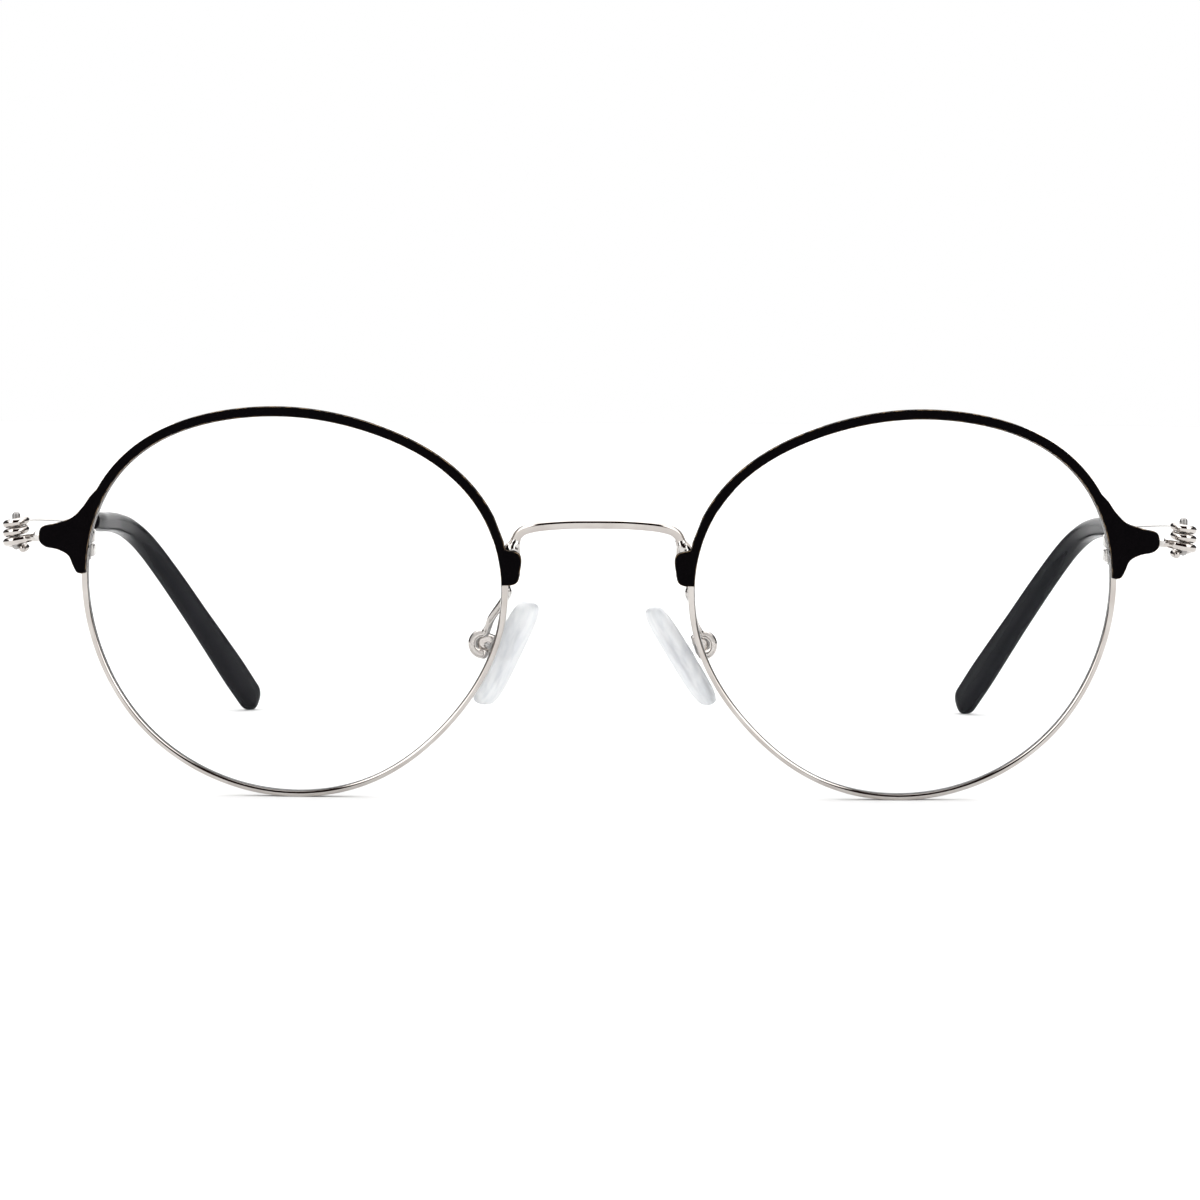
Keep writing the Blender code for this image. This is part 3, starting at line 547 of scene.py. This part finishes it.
def add_piece(name, mesh, place, finish, body, nodes=(), angle=35.0):
    """Put a mesh in its place, give it its materials, and have it ride on its body."""
    mesh.name = name
    mesh.transform(Matrix.Scale(MM, 4) @ place)
    for material in finish if isinstance(finish, (list, tuple)) else [finish]:
        mesh.materials.append(material)
    mesh.shade_smooth()
    mesh.set_sharp_from_angle(angle=math.radians(angle))
    obj = bpy.data.objects.new(name, mesh)
    bpy.context.scene.collection.objects.link(obj)
    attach(obj, body)
    if nodes:
        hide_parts(*nodes)


def turned_to_back():
    """Turns a shape made about Z so that its axis runs front to back, its top to the front."""
    return Matrix.Rotation(math.pi / 2, 4, "X")


# ---------------------------------------------------------------- places

WORLD = Matrix.Identity(4)


def front_place(side):
    lean = Euler((FRONT_LEAN, 0.0, side * FRONT_SWEEP)).to_matrix().to_4x4()
    return Matrix.Translation((0.0, FRONT_Y, 0.0)) @ lean


def hinge_place(side):
    return Matrix.Translation((side * HINGE_X, FRONT_Y + HINGE_Y, 0.0))


def pivot_place(label, side, tilt):
    pivot = Matrix.Translation((side * PAD_PIVOT_X[label], PAD_PIVOT_Y, PAD_PIVOT_Z))
    return front_place(side) @ pivot @ Matrix.Rotation(-side * tilt, 4, "Y")


# ---------------------------------------------------------------- the eye shape

TERMS = np.fft.rfft(EYE_RADII) / len(EYE_RADII)


def eye_radius(angle_deg):
    """Distance from the lens centre to the rim's inner edge, smooth and periodic through EYE_RADII."""
    angle = math.radians(angle_deg)
    total = TERMS[0].real
    for k in range(1, len(TERMS)):
        weight = 1.0 if k == len(EYE_RADII) / 2 else 2.0
        total += weight * (TERMS[k] * complex(math.cos(k * angle), math.sin(k * angle))).real
    return total


def eye_point(side, angle_deg, outwards=0.0, share=1.0):
    angle = math.radians(angle_deg)
    r = eye_radius(angle_deg) * share + outwards
    return side * (LENS_CENTRE_X - r * math.cos(angle)), LENS_CENTRE_Z + r * math.sin(angle)


def eye_normal(side, angle_deg):
    """The outward normal of the eye shape in its plane."""
    a = Vector(eye_point(side, angle_deg - 0.5))
    b = Vector(eye_point(side, angle_deg + 0.5))
    along = (b - a).normalized()
    normal = Vector((-along.y, along.x))
    centre = Vector((side * LENS_CENTRE_X, LENS_CENTRE_Z))
    return normal if normal.dot(a - centre) > 0 else -normal


# ---------------------------------------------------------------- the front


def rim_profile():
    """The rim strip's section as (outwards, back): crowned front, rounded corners, V groove inside."""
    half = RIM_DEPTH / 2
    t = RIM_THICKNESS
    points = []
    steps = 12
    for i in range(steps + 1):
        s = i / steps
        edge = abs(2 * s - 1) ** 2.4
        points.append((0.02 + s * (t - 0.04), -half + RIM_CROWN * edge))
    points += [(t, -half + RIM_CROWN + 0.04), (t, 0.0), (t, half - 0.14)]
    for a in (30, 60, 90):
        r = math.radians(a)
        points.append((t - 0.14 + 0.14 * math.cos(r), half - 0.14 + 0.14 * math.sin(r)))
    points += [(0.08, half), (0.02, half - 0.03), (0.0, half - 0.1)]
    points += [(0.0, GROOVE_HALF_WIDTH), (GROOVE_DEPTH, 0.0), (0.0, -GROOVE_HALF_WIDTH)]
    points.append((0.0, -half + RIM_CROWN + 0.04))
    return points


def build_rim(label, side):
    split = math.degrees(RIM_SPLIT_HALF_GAP / eye_radius(RIM_SPLIT_ANGLE))
    profile = rim_profile()
    rings = []
    for i in range(RIM_STEPS + 1):
        angle = RIM_SPLIT_ANGLE + split + (360.0 - 2 * split) * i / RIM_STEPS
        x, z = eye_point(side, angle)
        n = eye_normal(side, angle)
        rings.append([(x + u * n.x, RIM_MID_Y + v, z + u * n.y) for u, v in profile])
    mesh = make_mesh(*skin(rings))
    n = len(profile)
    marks = [0] * len(mesh.polygons)
    # Strips n - 5 to n - 2 of the section are the inner wall, and n - 4 and n - 3 are its groove.
    # Painted shade: the groove is near-black all round, and the rest of the inner wall in the lower half
    # only.
    for i in range(n * RIM_STEPS):
        lower = rings[i // n][0][2] < LENS_CENTRE_Z
        shaded = range(n - 5, n - 1) if lower else (n - 4, n - 3)
        marks[i] = int(i % n in shaded)
    mesh.polygons.foreach_set("material_index", marks)
    node = "rim_" + label
    add_piece(node + "_fine", mesh, front_place(side), [SILVER, GROOVE_SHADE], "front", [node])


def build_lens(label, side):
    angles = [360.0 * i / LENS_STEPS for i in range(LENS_STEPS)]
    half = LENS_THICKNESS / 2

    def ring(share, outwards, depth_offset):
        points = []
        for angle in angles:
            x, z = eye_point(side, angle, outwards, share)
            points.append((x, RIM_MID_Y - LENS_RISE * (1 - share**2) + depth_offset, z))
        return points

    shares = (0.02, 0.06, 0.12, 0.22, 0.33, 0.44, 0.55, 0.66, 0.77, 0.88, 0.96)
    gap = -LENS_EDGE_GAP
    rings = [ring(share, 0.0, -half) for share in shares]
    rings += [
        ring(1.0, gap - 0.03, -half), ring(1.0, gap, -half + 0.03), ring(1.0, gap, -LENS_BEVEL_HALF_WIDTH),
        ring(1.0, gap + LENS_BEVEL_HEIGHT, 0.0), ring(1.0, gap, LENS_BEVEL_HALF_WIDTH),
        ring(1.0, gap, half - 0.03), ring(1.0, gap - 0.03, half),
    ]
    rings += [ring(share, 0.0, half) for share in reversed(shares)]
    poles = [(side * LENS_CENTRE_X, RIM_MID_Y - LENS_RISE + sign * half, LENS_CENTRE_Z) for sign in (-1, 1)]
    mesh = make_mesh(*skin(rings, poles))
    first = len(shares) + 1
    # The four bevel rows take the near-black edge, which is painted shade of the groove.
    ground = range(first * LENS_STEPS, (first + 4) * LENS_STEPS)
    mesh.polygons.foreach_set("material_index", [int(i in ground) for i in range(len(mesh.polygons))])
    node = "lens_" + label
    add_piece(node + "_fine", mesh, front_place(side), [LENS, LENS_EDGE], "front", [node], 20.0)


def plate_outline(side):
    first, last = PLATE_ENDS
    outline = []
    for i in range(PLATE_INNER_STEPS + 1):
        outline.append(eye_point(side, first + (last - first) * i / PLATE_INNER_STEPS, PLATE_INSET))
    lug = [(LENS_CENTRE_X + out, 0.0, LENS_CENTRE_Z + up) for out, up in LUG_OUTLINE]
    outline += [(side * p.x, p.z) for p in smooth_route(lug, 8)]
    start, end = PLATE_ARC
    for i in range(PLATE_OUTER_STEPS + 1):
        angle = end + (start - end) * i / PLATE_OUTER_STEPS
        outline.append(eye_point(side, angle, PLATE_INSET + PLATE_WIDTH))
    block = [(LENS_CENTRE_X - out, 0.0, LENS_CENTRE_Z + up) for out, up in BLOCK_OUTLINE]
    outline += [(side * p.x, p.z) for p in smooth_route(block, 8)]
    return [Vector(p) for p in outline]


def inset_outline(outline, distance):
    """The outline moved inwards along its own normals."""
    count = len(outline)
    area = sum(a.cross(b) for a, b in zip(outline, outline[1:] + outline[:1]))
    turn = 1.0 if area > 0 else -1.0
    moved = []
    for i, p in enumerate(outline):
        along = (outline[(i + 1) % count] - outline[i - 1]).normalized()
        moved.append(p + Vector((-along.y, along.x)) * distance * turn)
    return moved


def build_brow_plate(label, side):
    """A flat plate with a rounded painted edge, where the wear shows as a hairline."""
    outline = plate_outline(side)
    t = PLATE_THICKNESS
    b = PLATE_BEVEL
    levels = [(t, 0.02), (t - 0.02, 0.0), (b, 0.0)]
    levels += [(b - b * math.sin(a), b - b * math.cos(a)) for a in map(math.radians, (30, 60, 90))]
    rings = []
    for y, inset in levels:
        rings.append([(p.x, y, p.y) for p in inset_outline(outline, inset)])
    mesh = make_mesh(*skin(rings))
    marks = [int(i // len(outline) == PLATE_WORN_ROW) for i in range(len(mesh.polygons))]
    mesh.polygons.foreach_set("material_index", marks)
    node = "brow_plate_" + label
    add_piece(node + "_fine", mesh, front_place(side), [PAINT, WORN], "front", [node], 50.0)


def build_bridge():
    half = smooth_route(BRIDGE_ROUTE, 14)
    left = front_place(1)
    right = front_place(-1)
    route = [left @ p for p in half[:-1]]
    middle = left @ half[-1]
    middle.x = 0.0
    route.append(middle)
    route += [right @ Vector((-p.x, p.y, p.z)) for p in reversed(half[:-1])]
    mesh = tube(route, BRIDGE_RADIUS - BRIDGE_TRIM, 40, BRIDGE_FULLNESS)
    add_piece("bridge_fine", mesh, WORLD, SILVER, "front", ["bridge"])


def lumpy_collar(place_points, radii, seed, bump=0.05):
    """A fillet of solder around a wire: a tube of varying radius with an uneven skin."""

    def radius(share):
        return float(np.interp(share, np.linspace(0.0, 1.0, len(radii)), radii))

    mesh = tube(resample(place_points, COLLAR_STEPS), radius, COLLAR_SIDES)
    for vert in mesh.vertices:
        shift = noise.noise(vert.co * 2.1 + Vector((seed, 0.0, 0.0))) * bump
        vert.co += vert.normal * shift
    return mesh


def build_solder(label, side):
    """The solder at the foot of the bridge, where the endpiece wire meets the lug, and on the pad arm."""
    foot = [Vector((side * x, y, z)) for x, y, z in (
        (10.1, 1.2, 28.75), (10.05, 1.2, 29.1), (9.9, 1.22, 29.45), (9.7, 1.26, 29.8), (9.56, 1.3, 30.15),
    )]
    mesh = lumpy_collar(foot, (0.7, 0.86, 0.84, 0.74, 0.63), 3.0 + side, 0.09)
    add_piece("bridge_solder_" + label, mesh, front_place(side), SOLDER, "front")
    root = [Vector((side * x, 1.25, 30.45)) for x in (63.2, 63.8, 64.4, 65.0, 65.5)]
    mesh = lumpy_collar(root, (0.56, 0.68, 0.70, 0.62, 0.53), 7.0 + side)
    add_piece("endpiece_solder_" + label, mesh, front_place(side), SOLDER, "front")
    arm = [Vector((side * x, y, z)) for x, y, z in (
        (10.75, 3.1, 24.6), (10.8, 3.1, 23.9), (10.92, 3.12, 23.2),
    )]
    mesh = lumpy_collar(arm, (0.45, 0.62, 0.66, 0.6, 0.48), 11.0 + side)
    add_piece("pad_arm_solder_" + label, mesh, front_place(side), SOLDER, "front")


# ---------------------------------------------------------------- the rim lock


def build_lock(label, side):
    place = front_place(side) @ Matrix.Translation((side * LOCK_X, LOCK_Y, LOCK_SPLIT_Z))
    bore = LOCK_SCREW_RADIUS + LOCK_BORE_GAP
    height = LOCK_SIZE[2]
    offset = LOCK_SPLIT_GAP / 2 + height / 2
    for level, sign in (("upper", 1), ("lower", -1)):
        block = rounded_box(LOCK_SIZE, (0.0, 0.0, sign * offset), 0.22)
        block = boolean(block, lathe([(bore, -4.0), (bore, 4.0)]))
        node = f"lock_block_{level}_{label}"
        add_piece(node + "_fine", block, place, CAST, "front", [node])
    head = -(LOCK_SPLIT_GAP / 2 + height + 0.05)
    r = LOCK_SCREW_RADIUS
    top = LOCK_SPLIT_GAP / 2 + height - 0.1
    profile = [
        (r - 0.1, top), (r, top - 0.1), (r, head),
        (LOCK_HEAD_RADIUS - 0.03, head), (LOCK_HEAD_RADIUS, head - 0.04),
        (LOCK_HEAD_RADIUS, head - 0.24), (0.66, head - 0.31), (0.56, head - 0.37), (0.4, head - 0.4),
    ]
    notch = rounded_box((2.0, 0.2, 0.4), (0.0, 0.0, head - 0.4), 0.0)
    screw = boolean(lathe(profile), notch)
    node = "lock_screw_" + label
    add_piece(node + "_fine", screw, place, STEEL, "front", [node])


# ---------------------------------------------------------------- hinges and temples


def coil(side, start_deg, end_deg, front_deg, front_z):
    count = round(abs(end_deg - start_deg) * COIL_STEPS / 360.0)
    points = []
    for i in range(count + 1):
        degrees = start_deg + (end_deg - start_deg) * i / count
        angle = math.radians(degrees)
        height = front_z - COIL_PITCH * (degrees - front_deg) / 360.0
        points.append(Vector((side * COIL_RADIUS * math.cos(angle), COIL_RADIUS * math.sin(angle), height)))
    return points


def build_endpiece_wire(label, side):
    hinge = hinge_place(side)
    root = [hinge.inverted() @ front_place(side) @ Vector((side * x, y, z)) for x, y, z in ENDPIECE_ROOT]
    turn = coil(side, FIXED_TURN[0], FIXED_TURN[1], FIXED_TURN[0], FIXED_TURN_FRONT_Z)
    lead = [Vector((side * x, y, z)) for x, y, z in ENDPIECE_LEAD]
    route = smooth_route(root + lead + [turn[0]], 12)[:-1] + turn
    node = "endpiece_wire_" + label
    mesh = tube(route, WIRE_RADIUS - WIRE_TRIM, 32)
    add_piece(node + "_fine", mesh, hinge, SILVER, "front", [node])


def build_hinge_pin(label, side):
    r = PIN_RADIUS
    end = [(r * math.cos(a), r * math.sin(a)) for a in map(math.radians, (0, 15, 30, 45, 58, 70, 80, 87))]
    profile = [(x, PIN_TOP_Z - r + up) for x, up in reversed(end)]
    profile += [(x, PIN_BOTTOM_Z + r - up) for x, up in end]
    node = "hinge_pin_" + label
    add_piece(node + "_fine", lathe(profile), hinge_place(side), PIN, "front", [node])


def temple_line(side, per_span):
    points = [Vector((side * (x - HINGE_X), y - HINGE_Y, z)) for x, y, z in TEMPLE_ROUTE]
    return smooth_route(points, per_span)


def build_temple_wire(label, side):
    turns = coil(side, TEMPLE_TURN[0], TEMPLE_TURN[1], 270.0, TEMPLE_TURN_FRONT_Z)
    route = turns + cut_short(temple_line(side, 16), CORE_END_SPACE)
    node = "temple_wire_" + label
    mesh = tube(route, WIRE_RADIUS - WIRE_TRIM, 32)
    add_piece(node + "_fine", mesh, hinge_place(side), SILVER, "temple_" + label, [node])


def soft_taper(table, count):
    """Sizes along a length, read from a table and eased so that no kink shows."""
    shares = [row[0] for row in table]
    sizes = [row[1] for row in table]
    grid = np.linspace(-0.1, 1.1, 481)
    values = np.interp(grid, shares, sizes)
    window = np.hanning(37)
    eased = np.convolve(values, window / window.sum(), mode="same")
    return np.interp(np.linspace(0.0, 1.0, count), grid, eased)


def tip_ring(centre, along, width, height, squareness=TIP_SQUARENESS):
    across = along.cross(Vector((0.0, 0.0, 1.0))).normalized()
    up = across.cross(along).normalized()
    ring = []
    for k in range(TIP_SIDES):
        a = 2 * math.pi * (k + 0.5) / TIP_SIDES
        u = squarer(math.cos(a), 2 / squareness) * width / 2
        v = squarer(math.sin(a), 2 / squareness) * height / 2
        ring.append(centre + across * u + up * v)
    return ring


def build_temple_tip(label, side):
    """The acetate tip: open at its front round the wire, softly squared, with a rounded paddle end."""
    full = temple_line(side, 16)
    start = TIP_START_Y - HINGE_Y
    before = [p for p in full if p.y <= start][-1]
    inside = [p for p in full if p.y > start]
    first = before.lerp(inside[0], (start - before.y) / (inside[0].y - before.y))
    line = resample([first] + inside, TIP_STEPS)
    directions = [(b - a).normalized() for a, b in zip(line, line[1:])]
    directions.append(directions[-1])
    widths = soft_taper(TIP_WIDTHS, TIP_STEPS + 1)
    heights = soft_taper(TIP_HEIGHTS, TIP_STEPS + 1)
    bore = 2 * TIP_BORE_RADIUS
    head = directions[0]
    rings = [tip_ring(line[0] + head * depth, head, bore, bore, 2.0) for depth in (3.0, 1.0, 0.12)]
    mouth = ((0.03, bore + 0.06), (0.0, bore + 0.2))
    rings += [tip_ring(line[0] + head * depth, head, size, size, 2.1) for depth, size in mouth]
    edge = ((0.0, 0.86), (0.06, 0.95), (0.16, 0.99))
    rings += [tip_ring(line[0] + head * d, head, widths[0] * s, heights[0] * s) for d, s in edge]
    for i in range(1, TIP_STEPS + 1):
        rings.append(tip_ring(line[i], directions[i], widths[i], heights[i]))
    last = directions[-1]
    for a in map(math.radians, (6, 12, 18, 25, 32, 39, 46, 53, 60, 67, 74, 80, 85)):
        out = math.sin(a) * (TIP_END_LENGTH - TIP_END_TRIM)
        size = (widths[-1] * math.cos(a), heights[-1] * math.cos(a))
        rings.append(tip_ring(line[-1] + last * out, last, *size))
    mesh = make_mesh(*skin(rings))
    node = "temple_tip_" + label
    body = "temple_" + label
    add_piece(node + "_fine", mesh, hinge_place(side), ACETATE, body, [node], 45.0)


# ---------------------------------------------------------------- nose pads


def build_pad_arm(label, side):
    pivot = Vector((side * PAD_PIVOT_X[label], PAD_PIVOT_Y, PAD_PIVOT_Z))
    root = [Vector((side * x, y, z)) for x, y, z in PAD_ARM_ROOT]
    hook = [pivot + Vector((side * x, y, z)) for x, y, z in PAD_ARM_HOOK]
    route = smooth_route(root + hook, 12)
    node = "pad_arm_" + label

    def radius(share):
        return float(np.interp(share, *zip(*PAD_ARM_TAPER)))

    add_piece(node + "_fine", tube(route, radius, 32), front_place(side), SILVER, "front", [node])


def build_pad_box(label, side):
    place = pivot_place(label, side, BOX_TILT)
    shell = rounded_box(BOX_SIZE, (side * BOX_SHIFT, 0.0, 0.0), 0.28, 5)
    slot = rounded_box(
        (BOX_SIZE[0], BOX_SLOT_WIDTH, BOX_SIZE[2] * 2), (side * (BOX_SHIFT + BOX_SLOT_SHIFT), 0.0, 0.0), 0.0
    )
    r = PAD_SCREW_RADIUS + PAD_SCREW_GAP
    bore = lathe([(r, -3.0), (r, 3.0)])
    bore.transform(turned_to_back())
    shell = boolean(boolean(shell, slot), bore)
    node = "pad_box_" + label
    add_piece(node + "_fine", shell, place, SILVER, "front", [node])
    half = BOX_SIZE[1] / 2
    r = PAD_SCREW_RADIUS
    head = PAD_SCREW_HEAD_RADIUS
    profile = [
        (r - 0.08, -half), (r, -half + 0.08), (r, half + 0.03), (head, half + 0.03), (head, half + 0.1),
        (head * 0.93, half + 0.17), (head * 0.75, half + 0.24), (head * 0.45, half + 0.28),
        (head * 0.2, half + 0.3),
    ]
    notch = rounded_box((1.4, 0.13, 0.3), (0.0, 0.0, half + 0.3), 0.0)
    screw = boolean(lathe(profile), notch)
    screw.transform(turned_to_back())
    node = "pad_screw_" + label
    add_piece(node + "_fine", screw, place, STEEL, "front", [node])


def pill(size, fullness, end_fullness, rows=40, sides=64):
    """A flattened oval about its middle, of size (thickness, width, height), with full ends."""
    thickness, width, height = size
    rings = []
    for i in range(rows):
        turn = math.pi * (i + 0.5) / rows
        z = -squarer(math.cos(turn), end_fullness) * height / 2
        spread = math.sin(turn) ** end_fullness
        ring = []
        for k in range(sides):
            a = 2 * math.pi * k / sides
            c = squarer(math.cos(a), fullness)
            s = squarer(math.sin(a), fullness)
            ring.append((c * spread * thickness / 2, s * spread * width / 2, z))
        rings.append(ring)
    return make_mesh(*skin(rings, [(0.0, 0.0, -height / 2), (0.0, 0.0, height / 2)]))


def set_in_pad(mesh, label, side):
    """Turn a shape made about the pad's middle by the splay, and move it to the pad's place."""
    offset = Matrix.Translation((-side * PAD_OFFSET, 0.0, -PAD_DROP))
    mesh.transform(offset @ Matrix.Rotation(side * PAD_SPLAY[label], 4, "Z"))
    return mesh


def build_pad(label, side):
    place = pivot_place(label, side, PAD_REST_TILT[label])
    core = set_in_pad(pill(CORE_PLATE_SIZE, 0.8, 0.85, 28, 48), label, side)
    length, stem_width, stem_height = STEM_SIZE
    stem = rounded_box((length, stem_width, stem_height), (-side * length / 2, 0.0, 0.0), 0.08, 3)
    knuckle = lathe([(stem_height / 2, -stem_width / 2), (stem_height / 2, stem_width / 2)])
    knuckle.transform(turned_to_back())
    core = boolean(boolean(core, stem, "UNION"), knuckle, "UNION")
    r = PAD_SCREW_RADIUS + PAD_SCREW_GAP
    bore = lathe([(r, -3.0), (r, 3.0)])
    bore.transform(turned_to_back())
    core = boolean(core, bore)
    node = "pad_core_" + label
    add_piece(node + "_fine", core, place, CORE, "pad_" + label, [node])

    pad = set_in_pad(pill(PAD_SIZE, PAD_FULLNESS, PAD_END_FULLNESS), label, side)
    node = "nose_pad_" + label
    add_piece(node + "_fine", pad, place, SILICONE, "pad_" + label, [node], 60.0)


# ---------------------------------------------------------------- build the object

for label, side in SIDES.items():
    build_rim(label, side)
    build_lens(label, side)
    build_brow_plate(label, side)
    build_solder(label, side)
    build_lock(label, side)
    build_endpiece_wire(label, side)
    build_hinge_pin(label, side)
    build_temple_wire(label, side)
    build_temple_tip(label, side)
    build_pad_arm(label, side)
    build_pad_box(label, side)
    build_pad(label, side)
build_bridge()

# ---------------------------------------------------------------- floor, light and camera

FLOOR_RADIUS = 4.0


def build_floor():
    bm = bmesh.new()
    bmesh.ops.create_circle(bm, cap_ends=True, segments=96, radius=FLOOR_RADIUS)
    mesh = bpy.data.meshes.new("floor")
    bm.to_mesh(mesh)
    bm.free()
    material, tree, shader, place = new_material("pale_floor")
    mottle = add_noise(tree, place, 3.0, 3.0)
    tree.links.new(
        blend_colours(tree, mottle, (0.80, 0.80, 0.80), (0.82, 0.82, 0.82)), shader.inputs["Base Color"]
    )
    shader.inputs["Roughness"].default_value = 0.9
    shader.inputs["Specular IOR Level"].default_value = 0.1
    mesh.materials.append(material)
    floor = bpy.data.objects.new("floor", mesh)
    bpy.context.scene.collection.objects.link(floor)


def build_light():
    """A white sweep behind, soft boxes overhead and on both sides in front, and the dark room between.

    step is one above an edge, fall is one below it, and band is one between two.
    """
    world = bpy.data.worlds.new("studio")
    bpy.context.scene.world = world
    world.use_nodes = True
    tree = world.node_tree
    direction = tree.nodes.new("ShaderNodeTexCoord").outputs["Generated"]
    split = tree.nodes.new("ShaderNodeSeparateXYZ")
    tree.links.new(direction, split.inputs["Vector"])
    across, back, up = split.outputs

    def maths(operation, first, second=None):
        node = tree.nodes.new("ShaderNodeMath")
        node.operation = operation
        tree.links.new(first, node.inputs[0])
        if second is not None:
            tree.links.new(second, node.inputs[1])
        return node.outputs["Value"]

    aside = maths("ABSOLUTE", across)

    def step(value, edge, soft, high=1.0, low=0.0):
        node = tree.nodes.new("ShaderNodeMapRange")
        node.interpolation_type = "SMOOTHSTEP"
        node.inputs["From Min"].default_value = edge - soft
        node.inputs["From Max"].default_value = edge + soft
        node.inputs["To Min"].default_value = low
        node.inputs["To Max"].default_value = high
        tree.links.new(value, node.inputs["Value"])
        return node.outputs["Result"]

    def fall(value, edge, soft):
        return step(value, edge, soft, 0.0, 1.0)

    def band(value, start, end, soft):
        return maths("MULTIPLY", step(value, start, soft), fall(value, end, soft))

    def patch(*bands):
        mask = bands[0]
        for other in bands[1:]:
            mask = maths("MULTIPLY", mask, other)
        return mask

    def lay(below, mask, colour):
        node = tree.nodes.new("ShaderNodeMix")
        node.data_type = "RGBA"
        tree.links.new(mask, node.inputs["Factor"])
        if isinstance(below, tuple):
            node.inputs[6].default_value = (*below, 1.0)
        else:
            tree.links.new(below, node.inputs[6])
        node.inputs[7].default_value = (*colour, 1.0)
        return node.outputs[2]

    in_front = fall(back, -0.1, 0.12)
    look = lay((1.1, 1.06, 1.02), step(back, 0.1, 0.1), (1.9, 1.9, 1.9))
    for mask, colour in (
        # the dark room on both sides of the sweep, and beyond the soft boxes
        (
            patch(step(back, 0.05, 0.08), band(aside, 0.27, 0.86, 0.04), fall(up, 0.6, 0.06)),
            (0.03, 0.028, 0.033),
        ),
        (patch(step(aside, 0.85, 0.03), fall(up, 0.14, 0.04)), (0.06, 0.05, 0.048)),
        (patch(step(aside, 0.85, 0.03), band(up, 0.14, 0.62, 0.04)), (0.04, 0.035, 0.035)),
        # the soft boxes, on both sides in front and overhead
        (patch(in_front, band(aside, 0.42, 0.84, 0.04), step(up, 0.1, 0.04)), (3.0, 3.0, 3.0)),
        (step(up, 0.8, 0.04), (2.8, 2.8, 2.8)),
        # the dark above the camera, and the camera's own side of the room
        (patch(in_front, fall(aside, 0.4, 0.04), band(up, 0.0, 0.93, 0.03)), (0.012, 0.003, 0.002)),
        (
            patch(fall(back, -0.88, 0.05), fall(aside, 0.2, 0.08), band(up, -0.3, -0.01, 0.02)),
            (0.95, 0.84, 0.78),
        ),
    ):
        look = lay(look, mask, colour)
    shine = tree.nodes["Background"]
    tree.links.new(look, shine.inputs["Color"])

    rays = tree.nodes.new("ShaderNodeLightPath")

    def choose(ray, below, strength):
        """Plain white of the given strength for one kind of ray."""
        plain = tree.nodes.new("ShaderNodeBackground")
        plain.inputs["Color"].default_value = (1.0, 1.0, 1.0, 1.0)
        plain.inputs["Strength"].default_value = strength
        mix = tree.nodes.new("ShaderNodeMixShader")
        tree.links.new(rays.outputs[ray], mix.inputs["Fac"])
        tree.links.new(below, mix.inputs[1])
        tree.links.new(plain.outputs["Background"], mix.inputs[2])
        return mix.outputs["Shader"]

    surface = choose("Is Diffuse Ray", shine.outputs["Background"], 1.5)
    surface = choose("Is Transmission Ray", surface, 1.0)
    surface = choose("Is Camera Ray", surface, 1.0)
    tree.links.new(surface, tree.nodes["World Output"].inputs["Surface"])


def build_camera():
    data = bpy.data.cameras.new("camera")
    data.sensor_width = CAMERA_SENSOR
    data.lens = CAMERA_LENS
    data.clip_start = 0.01
    data.clip_end = 20.0
    camera = bpy.data.objects.new("camera", data)
    bpy.context.scene.collection.objects.link(camera)
    turn = Matrix.Rotation(CAMERA_PAN, 3, "Z") @ Matrix.Rotation(CAMERA_TILT, 3, "X")
    turn = turn @ Matrix.Rotation(CAMERA_ROLL, 3, "Y") @ Matrix.Rotation(math.pi / 2, 3, "X")
    camera.rotation_mode = "QUATERNION"
    camera.location = Vector(CAMERA_PLACE) * MM
    camera.rotation_quaternion = turn.to_quaternion()
    bpy.context.scene.camera = camera


build_floor()
build_light()
build_camera()
bpy.context.scene.view_settings.view_transform = "Standard"
